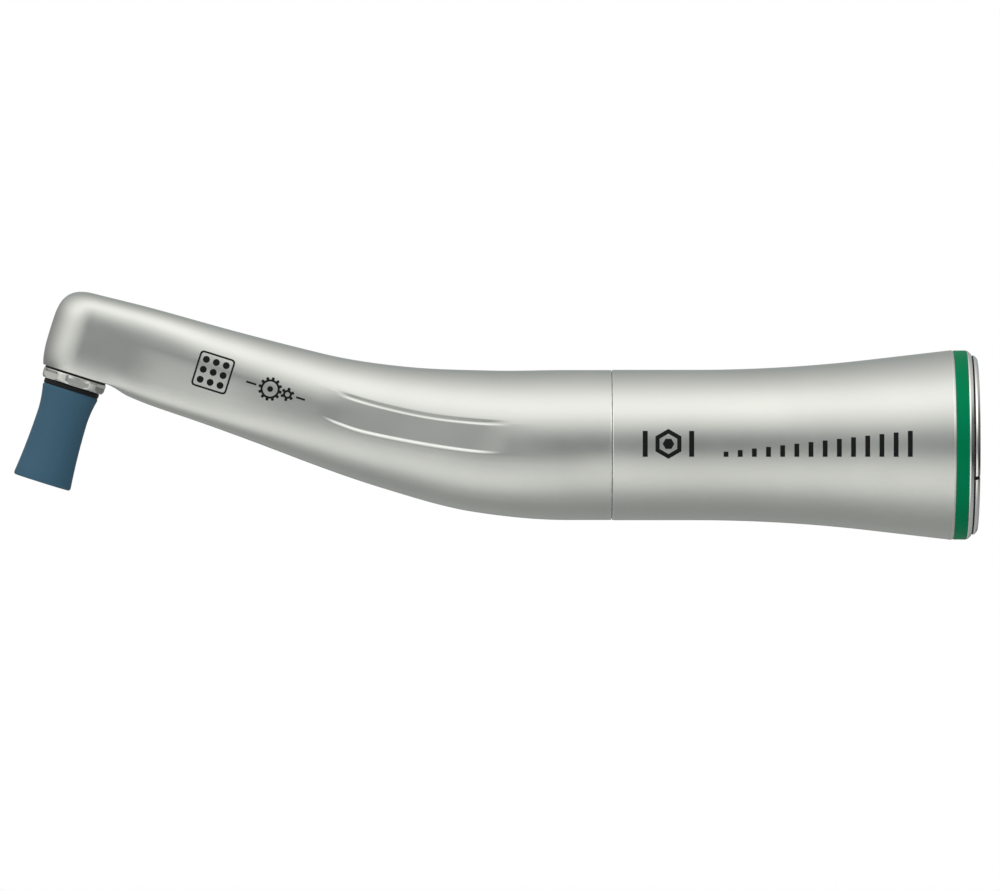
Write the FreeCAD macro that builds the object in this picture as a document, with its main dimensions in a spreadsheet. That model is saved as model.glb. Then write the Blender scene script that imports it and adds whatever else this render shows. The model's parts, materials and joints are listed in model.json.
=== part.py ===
"""Contra angle handpiece with a 16:1 reduction drive and a screw-in polishing cup.

Millimetres. The origin is the centre of the motor coupling's mouth. +X is the coupling's axis,
pointing out of the mouth, +Z is up and +Y is to the far side, so the head lies at -X and the cup
points down. Three working frames place every piece, each with its own X along a shaft and Z down:

    HANDLE  X is the depth from the mouth plane, forwards along the handle's axis
    NECK    X runs from the point where the two shaft axes cross, along the neck to the head
    HEAD    X runs from where the neck's axis meets the spindle's axis, down towards the cup
"""
import FreeCAD, Part
import math
import os
import Sketcher
from FreeCAD import Placement, Rotation, Vector

SIZES = {
    # handle and neck axes
    "bend_depth": 56.4, "bend_radius": 90.0, "neck_angle": 17.5, "neck_length": 37.8,
    # outer form of the handle's rear sleeve
    "seam_depth": 38.0, "sleeve_radius": 7.82, "flare_start": 29.5, "flare_end": 11.5,
    "flare_arc": 158.7, "flare_radius": 8.84, "sleeve_end": 2.5, "rim_radius": 9.86,
    # rings at the rear end
    "bezel_depth": 1.15, "nut_depth": 0.62, "bezel_lip": 9.45, "nut_lip": 9.36, "nut_face": 8.95,
    "ring_seat": 9.0, "nut_skirt": 8.62, "nut_skirt_depth": 2.3, "slot_width": 0.45, "slot_angle": 21.6,
    # motor coupling
    "mouth_bore": 7.8, "mouth_depth": 6.0, "nose_bore": 4.55, "nose_depth": 12.6, "tip_bore": 4.35,
    "tip_depth": 20.5, "web_bore": 2.6, "clip_groove": 4.8, "clip_depth": 9.6, "clip_width": 0.7,
    # coupling body and sleeve bores
    "cup_radius": 8.25, "cup_depth": 4.0, "land_radius": 8.48, "land_depth": 9.5, "body_radius": 7.0,
    "spigot_radius": 6.2, "body_end": 43.0, "fit_gap": 0.02, "oring_radius": 0.27, "oring_depth": 7.6,
    # bearings: bore radius, outer radius, width, ball radius
    "small_bore": 1.0, "small_outer": 2.5, "small_width": 1.5, "small_ball": 0.4,
    "large_bore": 1.5, "large_outer": 3.5, "large_width": 2.0, "large_ball": 0.55, "ball_count": 7,
    # planetary gears, two equal stages in one ring gear
    "gear_module": 0.25, "sun_teeth": 12, "planet_teeth": 12, "ring_teeth": 36, "planet_count": 3,
    "pressure_angle": 20.0, "addendum": 0.88, "dedendum": 1.15, "backlash": 0.05,
    "gearbox_bore": 5.4, "gearbox_depth": 27.0, "ring_start": 28.0, "ring_end": 37.6,
    "planet_width": 2.6, "planet_pin": 0.5, "carrier_radius": 4.1, "carrier_width": 1.2,
    "first_planet_depth": 28.7, "first_carrier_depth": 31.7,
    "second_planet_depth": 33.6, "second_carrier_depth": 36.6, "pilot_radius": 0.6,
    # input shaft and its sliding drive dog
    "nut_bore": 3.9, "nut_width": 1.5, "oring_seat": 7.92,
    "input_bearing_depth": 22.0, "stub_start": 15.3, "stub_radius": 1.0, "collar_end": 25.6,
    "collar_radius": 1.9, "sun_core": 1.2, "input_end": 31.4, "dog_start": 13.2, "dog_end": 18.7,
    "dog_radius": 2.2, "dog_claw": 2.0, "dog_slot": 1.7, "dog_travel": 1.2, "dog_pin_depth": 17.5,
    "dog_pin_radius": 0.4, "spring_wire": 0.13, "spring_radius": 1.6, "spring_turns": 4.0,
    # middle shaft
    "middle_rear_depth": 38.6, "middle_front_depth": 48.9, "middle_end": 54.8, "holder_start": 44.0,
    "holder_end": 51.0, "holder_radius": 5.28, "holder_bore": 3.0, "gear_seat": 1.2, "shaft_collar": 2.0,
    "cover_start": 37.9, "cover_end": 42.6,
    # gears at the bend: the two pitch cones touch on the inner side of the bend
    "bend_teeth": 16, "bend_gear_radius": 3.0, "bend_face": 1.1, "bend_hub": 2.0, "bend_cavity": 3.3,
    # front shaft
    "front_rear_bearing": 4.8, "front_front_bearing": 31.4, "cartridge_start": 4.4,
    "cartridge_end": 33.4, "cartridge_radius": 3.08, "cartridge_bore": 2.2, "front_seat": 0.8,
    "neck_hub": 1.45, "front_shaft_start": 1.5, "pinion_hub": 3.0, "pinion_hub_radius": 1.3,
    "neck_bore_end": 35.2, "front_shaft_radius": 0.94,
    # bevel gears in the head
    "head_teeth": 14, "head_gear_radius": 1.75, "head_face": 0.8,
    # head, measured from the neck's axis: positive is down
    "head_top": 4.42, "head_radius": 3.95, "head_seam_radius": 3.5, "head_seam": 4.22, "head_round": 2.05,
    "head_side_end": 2.0, "head_seam_round": 6.0,
    "head_bore": 3.0, "upper_bearing": -3.4, "spindle_gear_front": 1.4, "spindle_core": 1.2,
    "journal_start": 2.6, "thread_start": 1.9, "spigot_start": 3.2, "flange_start": 4.34,
    "spindle_neck": 0.8, "spindle_end": 5.9,
    "journal_radius": 1.5, "bush_radius": 2.6, "bush_start": 3.0, "bush_end": 4.65, "thread_radius": 0.95,
    "ring_flange": 3.35, "head_ring_end": 5.45, "flat_start": 4.72, "head_ring_flats": 3.08,
    "hex_turn": 10.0, "seal_radius": 2.92,
    # polishing cup
    "cup_top": 5.95, "cup_top_radius": 2.98, "cup_waist": 8.7, "cup_waist_radius": 2.65,
    "cup_end": 16.0, "cup_end_radius": 3.08, "cup_mouth": 2.35, "cup_floor": 1.75, "cup_hollow": 5.2,
    "cup_flare_arc": 56.0, "cup_top_arc": 10.4, "rib_inner": 1.0, "rib_width": 0.26,
    "cup_ribs": 6, "stud_start": 2.3, "stud_head": 1.8, "stud_head_start": 6.5, "stud_head_end": 8.4,
    # light rod
    "rod_radius": 0.5, "rod_gap": 0.05, "rod_handle_offset": 6.35, "rod_neck_offset": 3.95, "rod_bend": 25.0,
    "rod_exit_start": 29.0, "rod_exit_bend": 8.0, "rod_exit_angle": 25.0,
    # half heights and half widths of the front body along its centre line, and how far its centre
    # lies above that line
    "height_1": 7.8, "height_2": 7.36, "height_3": 6.44, "height_4": 5.6, "height_5": 5.09,
    "height_6": 4.72, "height_7": 4.27,
    "width_1": 7.8, "width_2": 7.2, "width_3": 6.15, "width_4": 5.2, "width_5": 4.5,
    "width_6": 4.05, "width_7": 3.78, "rise_7": 0.12,
}

doc = FreeCAD.newDocument("contra_angle_handpiece")
sheet = doc.addObject("Spreadsheet::Sheet", "Sizes")
for row, (alias, number) in enumerate(SIZES.items(), start=1):
    sheet.set(f"A{row}", alias)
    sheet.set(f"B{row}", str(number))
    sheet.setAlias(f"B{row}", alias)
doc.recompute()


class Dim:
    """A length that knows both its value and the spreadsheet expression it comes from."""

    def __init__(self, value, text):
        self.value = float(value)
        self.text = text

    def __add__(self, other):
        other = dim(other)
        return Dim(self.value + other.value, f"({self.text} + {other.text})")

    def __sub__(self, other):
        other = dim(other)
        return Dim(self.value - other.value, f"({self.text} - {other.text})")

    def __mul__(self, other):
        other = dim(other)
        return Dim(self.value * other.value, f"({self.text} * {other.text})")

    __radd__ = __add__
    __rmul__ = __mul__

    def __rsub__(self, other):
        return dim(other) - self

    def __neg__(self):
        return Dim(-self.value, f"(-{self.text})")


def dim(x):
    """A Dim from an alias of the spreadsheet, a number or a Dim."""
    if isinstance(x, Dim):
        return x
    if isinstance(x, str):
        return Dim(sheet.get(x), f"Sizes.{x}")
    return Dim(x, f"{x:.6g}")


def size(alias):
    """The plain value of a spreadsheet cell."""
    return float(sheet.get(alias))


NECK_ANGLE = math.radians(size("neck_angle"))
BEND_POINT = Vector(-size("bend_depth"), 0, 0)
NECK_WAY = Vector(-math.cos(NECK_ANGLE), 0, math.sin(NECK_ANGLE))
HEAD_WAY = Vector(-math.sin(NECK_ANGLE), 0, -math.cos(NECK_ANGLE))
HEAD_POINT = BEND_POINT + NECK_WAY * size("neck_length")
Y_AXIS = Vector(0, 1, 0)
HANDLE = Placement(Vector(0, 0, 0), Rotation(Y_AXIS, 180))
NECK = Placement(BEND_POINT, Rotation(Y_AXIS, 180 + size("neck_angle")))
HEAD = Placement(HEAD_POINT, Rotation(Y_AXIS, 90 + size("neck_angle")))
GAP = dim("fit_gap")
FULL_TURN = 360
parts = {}


def along(frame, start, turn=0.0):
    """A placement that lies at start along a frame's X, turned about it by turn degrees."""
    moved = Placement(Vector(dim(start).value, 0, 0), Rotation(Vector(1, 0, 0), turn))
    return frame.multiply(moved)


def keep(node, thing):
    """Makes a finished object one of the model's named sub-parts."""
    thing.Label = node
    parts[node] = thing
    return thing


def bind(thing, **dims):
    """Binds properties to the spreadsheet."""
    for prop, value in dims.items():
        thing.setExpression(prop, dim(value).text)
    return thing


# Sketched and revolved bodies

def arc_between(start, end, radius):
    """A sketch arc of this radius from start to end; a positive radius bulges to the left."""
    chord = end - start
    half = chord.Length / 2
    side = 1 if radius > 0 else -1
    left = Vector(-chord.y, chord.x, 0).normalize()
    centre = (start + end) / 2 - left * side * math.sqrt(radius * radius - half * half)
    a, b = (math.atan2(p.y - centre.y, p.x - centre.x) for p in (start, end))
    if side > 0:
        a, b = b, a
    circle = Part.Circle(centre, Vector(0, 0, 1), abs(radius))
    return Part.ArcOfCircle(circle, a, b if b > a else b + 2 * math.pi), side > 0


def outline_sketch(body, outline):
    """A closed outline in the body's XZ plane: points (axial, radial), with a third value for the
    radius of an arc that leads to the next point. Every coordinate is bound to the spreadsheet."""
    sketch = body.newObject("Sketcher::SketchObject", body.Name + "_outline")
    plane = next(f for f in body.Origin.OriginFeatures if f.Role == "XZ_Plane")
    sketch.AttachmentSupport = [(plane, "")]
    sketch.MapMode = "FlatFace"
    corners = [(dim(p[0]), dim(p[1])) for p in outline]
    vectors = [Vector(a.value, r.value, 0) for a, r in corners]
    ends = []
    for i, point in enumerate(outline):
        start, end = vectors[i], vectors[(i + 1) % len(outline)]
        if len(point) > 2:
            arc, swapped = arc_between(start, end, dim(point[2]).value)
            index = sketch.addGeometry(arc, False)
            ends.append((index, 2, 1) if swapped else (index, 1, 2))
            radius = sketch.addConstraint(Sketcher.Constraint("Radius", index, abs(dim(point[2]).value)))
            sketch.setExpression(f"Constraints[{radius}]", f"abs({dim(point[2]).text})")
        else:
            index = sketch.addGeometry(Part.LineSegment(start, end), False)
            ends.append((index, 1, 2))
    for i, (index, first, last) in enumerate(ends):
        following = ends[(i + 1) % len(ends)]
        sketch.addConstraint(Sketcher.Constraint("Coincident", index, last, following[0], following[1]))
        for kind, coordinate, axis in (("DistanceX", corners[i][0], -2), ("DistanceY", corners[i][1], -1)):
            if coordinate.value == 0:
                sketch.addConstraint(Sketcher.Constraint("PointOnObject", index, first, axis))
                continue
            made = sketch.addConstraint(
                Sketcher.Constraint(kind, -1, 1, index, first, coordinate.value))
            sketch.setExpression(f"Constraints[{made}]", coordinate.text)
    return sketch


def turned(name, outline, place):
    """A PartDesign body turned about its own X axis."""
    body = doc.addObject("PartDesign::Body", name)
    sketch = outline_sketch(body, outline)
    solid = body.newObject("PartDesign::Revolution", name + "_revolution")
    solid.Profile = sketch
    solid.ReferenceAxis = (sketch, ["H_Axis"])
    solid.Angle = FULL_TURN
    sketch.Visibility = False
    body.Tip = solid
    body.Placement = place
    return body


def tube(name, inner, outer, length, place):
    """A plain turned ring."""
    return turned(name, [(0, inner), (length, inner), (length, outer), (0, outer)], place)


# Part primitives and booleans

def cylinder(name, radius, length, place):
    """A cylinder along its own X axis, from 0 to length."""
    made = doc.addObject("Part::Cylinder", name)
    bind(made, Radius=radius, Height=length)
    made.Placement = place.multiply(Placement(Vector(), Rotation(Y_AXIS, 90)))
    return made


def cut(name, base, *tools):
    """base with each tool taken away."""
    made = doc.addObject("Part::Cut", name)
    made.Base = base
    made.Tool = tools[0] if len(tools) == 1 else fuse(name + "_tools", *tools)
    return made


def fuse(name, *shapes):
    made = doc.addObject("Part::MultiFuse", name)
    made.Shapes = list(shapes)
    return made


def box(name, length, width, height, place):
    made = doc.addObject("Part::Box", name)
    bind(made, Length=length, Width=width, Height=height)
    made.Placement = place
    return made


def feature(name, shape, place):
    """A Part::Feature for a shape that is worked out by formula."""
    made = doc.addObject("Part::Feature", name)
    made.Shape = shape
    made.Placement = place
    return made


# Gears

def involute(angle):
    return math.tan(angle) - angle


def half_tooth(radius, pitch_radius, teeth, thinning):
    """Half the angle that an involute tooth takes at this radius."""
    pressure = math.radians(size("pressure_angle"))
    base = pitch_radius * math.cos(pressure)
    at = math.acos(min(1.0, base / radius))
    width = math.pi / (2 * teeth) - thinning / (2 * pitch_radius)
    return width + involute(pressure) - involute(at)


def gear_profile(teeth, inner, outer, pitch_radius, internal, turn):
    """The closed outline of a spur gear in the YZ plane. inner and outer are the ends of its
    flanks, and turn is the direction of one tooth's middle, or of one space's in an internal gear."""
    flank_points = 5
    thinning = size("backlash") * (-1 if internal else 1)
    radii = [inner + (outer - inner) * i / (flank_points - 1) for i in range(flank_points)]
    points = []
    for tooth in range(teeth):
        middle = turn + 2 * math.pi * tooth / teeth
        for side, path in ((-1, radii), (1, radii[::-1])):
            for radius in path:
                angle = middle + side * half_tooth(radius, pitch_radius, teeth, thinning)
                points.append(Vector(0, radius * math.cos(angle), radius * math.sin(angle)))
    return Part.makePolygon(points + points[:1])


def spur_gear(name, teeth, width, place, turn):
    """A solid external gear, extruded along its own X."""
    module = size("gear_module")
    pitch = module * teeth / 2
    wire = gear_profile(teeth, pitch - size("dedendum") * module, pitch + size("addendum") * module,
                        pitch, False, turn)
    profile = feature(name + "_profile", Part.Face(wire), place)
    made = doc.addObject("Part::Extrusion", name)
    made.Base = profile
    made.DirMode = "Custom"
    made.Dir = place.Rotation.multVec(Vector(1, 0, 0))
    made.Solid = True
    bind(made, LengthFwd=width)
    return made


def bevel_teeth(teeth, pitch_radius, cone, face, outgoing, turn):
    """The teeth of a bevel gear whose apex is the origin and whose axis runs along X * outgoing.
    Each tooth is a pyramid towards the apex, on the pitch cone's half angle cone. turn is the
    direction of one tooth's middle about +X, from Y towards Z."""
    module = 2 * pitch_radius / teeth
    axis = Vector(outgoing, 0, 0)
    back = pitch_radius / math.cos(cone)
    near = 1 - face / (pitch_radius / math.sin(cone))
    heights = [-size("dedendum") * module - 0.06, -0.5 * module, 0, size("addendum") * module]
    solids = []
    for tooth in range(teeth):
        angle = turn + 2 * math.pi * tooth / teeth
        out = Vector(0, math.cos(angle), math.sin(angle))
        sideways = axis.cross(out)
        normal = out * math.cos(cone) - axis * math.sin(cone)
        pitch_point = out * pitch_radius + axis * (pitch_radius / math.tan(cone))
        half_widths = [
            (back + h) * half_tooth(back + h, back, teeth / math.cos(cone), size("backlash"))
            for h in heights
        ]
        ring = [pitch_point + normal * h + sideways * w for h, w in zip(heights, half_widths)]
        ring += [pitch_point + normal * h - sideways * w for h, w in zip(heights, half_widths)][::-1]
        wires = [Part.makePolygon([p * k for p in ring + ring[:1]]) for k in (1.0, near)]
        solids.append(Part.makeLoft(wires, True, True))
    return solids


def bevel_blank(teeth, pitch_radius, cone, face, outgoing, hub_radius, rear):
    """The turned blank of a bevel gear up to its root cone, with a hub that ends at rear."""
    module = 2 * pitch_radius / teeth
    near = 1 - face / (pitch_radius / math.sin(cone))
    root = size("dedendum") * module
    radial = pitch_radius - root * math.cos(cone)
    axial = pitch_radius / math.tan(cone) + root * math.sin(cone)
    corners = [(near * axial, 0), (near * axial, near * radial), (axial, radial),
               (rear, hub_radius), (rear, 0)]
    face_wire = Part.makePolygon([Vector(a * outgoing, r, 0) for a, r in corners + corners[:1]])
    return Part.Face(face_wire).revolve(Vector(), Vector(1, 0, 0), FULL_TURN)


def bevel_gear(teeth, pitch_radius, cone, face, outgoing, turn, hub_radius, rear):
    blank = bevel_blank(teeth, pitch_radius, cone, face, outgoing, hub_radius, rear)
    return blank.fuse(bevel_teeth(teeth, pitch_radius, cone, face, outgoing, turn))


# Bearings

def bearing(name, family, place):
    """A deep groove ball bearing from 0 to its width along its own X: outer ring, inner ring, balls
    and cage. Returns nothing, and keeps the four nodes."""
    bore, outer, width = (dim(f"{family}_{part}") for part in ("bore", "outer", "width"))
    ball = size(f"{family}_ball")
    pitch = (bore + outer) * 0.5
    shoulder = 0.55 * ball
    groove_gap = 0.02
    for ring, inner, outside in (("outer_ring", pitch + shoulder, outer - GAP),
                                 ("inner_ring", bore, pitch - shoulder)):
        blank = cut(f"{name}_{ring}_blank", cylinder(f"{name}_{ring}_disc", outside, width, place),
                    cylinder(f"{name}_{ring}_hole", inner, width, place))
        groove = doc.addObject("Part::Torus", f"{name}_{ring}_groove")
        bind(groove, Radius1=pitch, Radius2=dim(f"{family}_ball") + groove_gap)
        groove.Placement = along(place, width * 0.5).multiply(Placement(Vector(), Rotation(Y_AXIS, 90)))
        keep(f"{name}_{ring}", cut(f"{name}_{ring}", blank, groove))
    count = int(size("ball_count"))
    centres = [Vector(width.value / 2, pitch.value * math.cos(a), pitch.value * math.sin(a))
               for a in (2 * math.pi * i / count for i in range(count))]
    keep(f"{name}_balls",
         feature(f"{name}_balls", Part.makeCompound([Part.makeSphere(ball, c) for c in centres]), place))
    wall, pocket_gap = 0.3 * ball, 0.03
    band = Part.makeCylinder(pitch.value + wall, width.value * 0.66, Vector(width.value * 0.17, 0, 0),
                             Vector(1, 0, 0))
    band = band.cut(Part.makeCylinder(pitch.value - wall, width.value, Vector(), Vector(1, 0, 0)))
    band = band.cut([Part.makeSphere(ball + pocket_gap, c) for c in centres])
    keep(f"{name}_cage", feature(f"{name}_cage", band, place))


# Placing and shaping the pieces

def at(frame, x, y=0.0, z=0.0):
    """A placement moved by plain amounts in a working frame."""
    return frame.multiply(Placement(Vector(x, y, z), Rotation()))


def shifted(outline, start):
    """An outline moved back along its axis, so that it begins at 0."""
    return [(dim(p[0]) - dim(start), *p[1:]) for p in outline]


def round_corner(corner, way_in, way_out, radius):
    """The start, middle and end of the arc that rounds a corner of a path."""
    half = way_in.getAngle(way_out) / 2
    reach = radius * math.tan(half)
    towards = (way_out - way_in).normalize()
    centre = corner + towards * (radius / math.cos(half))
    return corner - way_in * reach, centre - towards * radius, corner + way_out * reach


def rod_path(start, overrun):
    """The light rod's centre line: under the handle, round the bend, and out below the neck."""
    low, neck_low = size("rod_handle_offset"), size("rod_neck_offset")
    neck_up = -HEAD_WAY
    begin = HANDLE.multVec(Vector(start, 0, low))
    reach = (neck_low * neck_up.z - low) / NECK_WAY.z
    bend = BEND_POINT + NECK_WAY * reach - neck_up * neck_low
    exit_angle = math.radians(size("rod_exit_angle"))
    turn_reach = size("rod_exit_bend") * math.tan(exit_angle / 2)
    leave = NECK.multVec(Vector(size("rod_exit_start") + turn_reach, 0, neck_low))
    out = NECK_WAY * math.cos(exit_angle) - neck_up * math.sin(exit_angle)
    first = round_corner(bend, Vector(-1, 0, 0), NECK_WAY, size("rod_bend"))
    second = round_corner(leave, NECK_WAY, out, size("rod_exit_bend"))
    end = second[2] + out * overrun
    edges = [Part.LineSegment(begin, first[0]), Part.Arc(*first), Part.LineSegment(first[2], second[0]),
             Part.Arc(*second), Part.LineSegment(second[2], end)]
    return Part.Wire([edge.toShape() for edge in edges])


def rod_shape(radius, start, overrun):
    path = rod_path(start, overrun)
    begin = HANDLE.multVec(Vector(start, 0, size("rod_handle_offset")))
    circle = Part.Wire(Part.Circle(begin, Vector(-1, 0, 0), radius).toShape())
    return path.makePipeShell([circle], True, False)


# Rear end, from the outside in

def build_rear():
    keep("rear_sleeve", turned("rear_sleeve", shifted([
        ("sleeve_end", dim("land_radius") + GAP),
        ("land_depth", dim("land_radius") + GAP),
        ("land_depth", dim("body_radius") + GAP),
        (dim("seam_depth") - GAP, dim("body_radius") + GAP),
        (dim("seam_depth") - GAP, "sleeve_radius"),
        ("flare_start", "sleeve_radius", "flare_arc"),
        ("flare_end", "flare_radius"),
        ("sleeve_end", "rim_radius"),
    ], "sleeve_end"), along(HANDLE, "sleeve_end")))
    keep("ratio_ring", tube("ratio_ring", "ring_seat", "rim_radius",
                            dim("sleeve_end") - "bezel_depth" - GAP * 2,
                            along(HANDLE, dim("bezel_depth") + GAP)))
    keep("bezel_ring", turned("bezel_ring", shifted([
        ("nut_depth", dim("nut_skirt") + GAP),
        (dim("sleeve_end") - GAP, dim("nut_skirt") + GAP),
        (dim("sleeve_end") - GAP, dim("ring_seat") - GAP),
        ("bezel_depth", dim("ring_seat") - GAP),
        ("bezel_depth", "rim_radius"),
        ("nut_depth", "bezel_lip"),
    ], "nut_depth"), along(HANDLE, "nut_depth")))
    nut = turned("end_nut_turned", [
        (0, dim("cup_radius") + GAP),
        ("nut_skirt_depth", dim("cup_radius") + GAP),
        ("nut_skirt_depth", "nut_skirt"),
        (dim("nut_depth") - GAP, "nut_skirt"),
        (dim("nut_depth") - GAP, "nut_lip"),
        (0, "nut_face"),
    ], HANDLE)
    across = 20
    slot_floor = 0.5
    slot = box("end_nut_slot", slot_floor + 0.2, across, "slot_width",
               along(HANDLE, -0.2, -size("slot_angle")).multiply(
                   Placement(Vector(0, -across / 2, -size("slot_width") / 2), Rotation())))
    keep("end_nut", cut("end_nut", nut, slot))
    ring = doc.addObject("Part::Torus", "sleeve_o_ring")
    bind(ring, Radius1=dim("land_radius") - "oring_radius" - GAP, Radius2="oring_radius")
    ring.Placement = along(HANDLE, "oring_depth").multiply(Placement(Vector(), Rotation(Y_AXIS, 90)))
    keep("sleeve_o_ring", ring)


def build_coupling():
    groove = dim("oring_radius") + 0.03
    body = turned("coupling_body_turned", [
        (0, "mouth_bore"), ("mouth_depth", "mouth_bore"),
        ("mouth_depth", "nose_bore"), ("clip_depth", "nose_bore"),
        ("clip_depth", "clip_groove"), (dim("clip_depth") + "clip_width", "clip_groove"),
        (dim("clip_depth") + "clip_width", "nose_bore"), ("nose_depth", "nose_bore"),
        ("nose_depth", "tip_bore"), ("tip_depth", "tip_bore"),
        ("tip_depth", "web_bore"), ("input_bearing_depth", "web_bore"),
        ("input_bearing_depth", "large_outer"),
        (dim("input_bearing_depth") + "large_width", "large_outer"),
        (dim("input_bearing_depth") + "large_width", "nut_bore"),
        ("gearbox_depth", "nut_bore"), ("gearbox_depth", "gearbox_bore"), ("body_end", "gearbox_bore"),
        ("body_end", "spigot_radius"), ("seam_depth", "spigot_radius"),
        ("seam_depth", "body_radius"), ("land_depth", "body_radius"), ("land_depth", "land_radius"),
        (dim("oring_depth") + groove, "land_radius"), (dim("oring_depth") + groove, "oring_seat"),
        (dim("oring_depth") - groove, "oring_seat"), (dim("oring_depth") - groove, "land_radius"),
        ("cup_depth", "land_radius"), ("cup_depth", "cup_radius"), (0, "cup_radius"),
    ], HANDLE)
    channel = dim("rod_radius") + "rod_gap"
    slot = box("rod_slot", dim("body_end") - "land_depth" + 0.2, channel * 2, 1.0,
               at(HANDLE, size("land_depth"), -channel.value, size("rod_handle_offset")))
    bore = feature("rod_bore", rod_shape(channel.value, size("mouth_depth") - 0.1, 0.5), Placement())
    keep("coupling_body", cut("coupling_body", body, bore, slot))
    keep("input_bearing_nut", tube("input_bearing_nut", "web_bore", dim("nut_bore") - GAP, "nut_width",
                                   along(HANDLE, dim("input_bearing_depth") + "large_width" + 0.1)))


# Gear train, from the motor's end to the bend

def build_input_shaft():
    rear = dim("input_bearing_depth")
    front = rear + "large_width"
    shaft = turned("input_shaft_turned", shifted([
        ("stub_start", 0), ("stub_start", "stub_radius"), (rear, "stub_radius"),
        (rear, dim("large_bore") - GAP), (front, dim("large_bore") - GAP),
        (front, "collar_radius"), ("collar_end", "collar_radius"), ("collar_end", "sun_core"),
        ("input_end", "sun_core"), ("input_end", "pilot_radius"),
        (dim("first_carrier_depth") + 0.8, "pilot_radius"), (dim("first_carrier_depth") + 0.8, 0),
    ], "stub_start"), along(HANDLE, "stub_start"))
    sun_width = dim("planet_width") + 0.2
    sun = spur_gear("input_sun", int(size("sun_teeth")), sun_width,
                    along(HANDLE, dim("input_end") - sun_width), 0)
    pin_hole = cylinder("input_pin_hole", dim("dog_pin_radius") + GAP * 0.5, 4,
                        dog_pin_place(2))
    keep("input_shaft", cut("input_shaft", fuse("input_shaft_blank", shaft, sun), pin_hole))


def dog_pin_place(half):
    """Across the stub, along the handle's Z, from -half."""
    upright = Placement(Vector(size("dog_pin_depth"), 0, -half), Rotation(Y_AXIS, -90))
    return HANDLE.multiply(upright)


def build_dog():
    bore = dim("stub_radius") + 0.03
    chamfer = 0.3
    blank = turned("drive_dog_turned", shifted([
        ("dog_start", bore), ("dog_end", bore), ("dog_end", "dog_radius"),
        (dim("dog_start") + chamfer, "dog_radius"), ("dog_start", dim("dog_radius") - chamfer),
    ], "dog_start"), along(HANDLE, "dog_start"))
    across = 6
    claws = box("drive_dog_claws", dim("dog_claw") + 0.2, across, "dog_slot",
                at(HANDLE, size("dog_start") - 0.2, -across / 2, -size("dog_slot") / 2))
    room = dim("dog_pin_radius") + GAP
    slot = box("drive_dog_pin_slot", dim("dog_travel") + room * 2, room * 2, across,
               at(HANDLE, size("dog_pin_depth") - size("dog_travel") - room.value, -room.value, -across / 2))
    keep("drive_dog", cut("drive_dog", blank, claws, slot))
    half = size("dog_radius") - 0.1
    keep("dog_pin", cylinder("dog_pin", "dog_pin_radius", half * 2, dog_pin_place(half)))


def build_dog_spring():
    wire = dim("spring_wire")
    clear = dim(0.04)
    start = dim("dog_end") + wire + clear
    length = dim("input_bearing_depth") - wire - clear - start
    upright = along(HANDLE, start).multiply(Placement(Vector(), Rotation(Y_AXIS, 90)))
    coil = doc.addObject("Part::Helix", "dog_spring_coil")
    bind(coil, Radius="spring_radius", Height=length, Pitch=length * Dim(1 / size("spring_turns"),
                                                                         "(1 / Sizes.spring_turns)"))
    coil.Placement = upright
    section = doc.addObject("Part::Circle", "dog_spring_section")
    bind(section, Radius=wire)
    section.Placement = upright.multiply(
        Placement(Vector(size("spring_radius"), 0, 0), Rotation(Vector(1, 0, 0), 90)))
    doc.recompute()
    spring = doc.addObject("Part::Sweep", "dog_spring")
    spring.Sections = [section]
    spring.Spine = (coil, [f"Edge{i + 1}" for i in range(len(coil.Shape.Edges))])
    spring.Solid = True
    spring.Frenet = True
    keep("dog_spring", spring)


def planet_centre(k):
    """A planet's centre in the YZ plane of the handle, and its direction from the shaft."""
    way = 2 * math.pi * k / size("planet_count")
    radius = size("gear_module") * (size("sun_teeth") + size("planet_teeth")) / 2
    return radius * math.cos(way), radius * math.sin(way), way


def build_stage(stage, carrier, pins_from, pins_to):
    """Three planets and the pins that carry them. Returns the tools for the carrier's pin holes."""
    planet_teeth = int(size("planet_teeth"))
    holes = []
    pins = []
    for k in range(int(size("planet_count"))):
        y, z, way = planet_centre(k)
        tooth = way + math.pi - (math.pi - size("sun_teeth") * way) / planet_teeth
        node = f"{stage}_planet_{k + 1}"
        start = size(f"{stage}_planet_depth")
        gear = spur_gear(node + "_teeth", planet_teeth, "planet_width", at(HANDLE, start, y, z), tooth)
        bore = cylinder(node + "_bore", dim("planet_pin") + 0.04, "planet_width", at(HANDLE, start, y, z))
        keep(node, cut(node, gear, bore))
        place = at(HANDLE, dim(pins_from).value, y, z)
        pins.append(cylinder(f"{carrier}_pin_{k + 1}", "planet_pin", dim(pins_to) - pins_from, place))
        holes.append(cylinder(f"{carrier}_hole_{k + 1}", dim("planet_pin") + GAP * 0.5,
                              dim(pins_to) - pins_from + 1, place))
    compound = doc.addObject("Part::Compound", f"{stage}_planet_pins")
    compound.Links = pins
    keep(f"{stage}_planet_pins", compound)
    return holes


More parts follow.
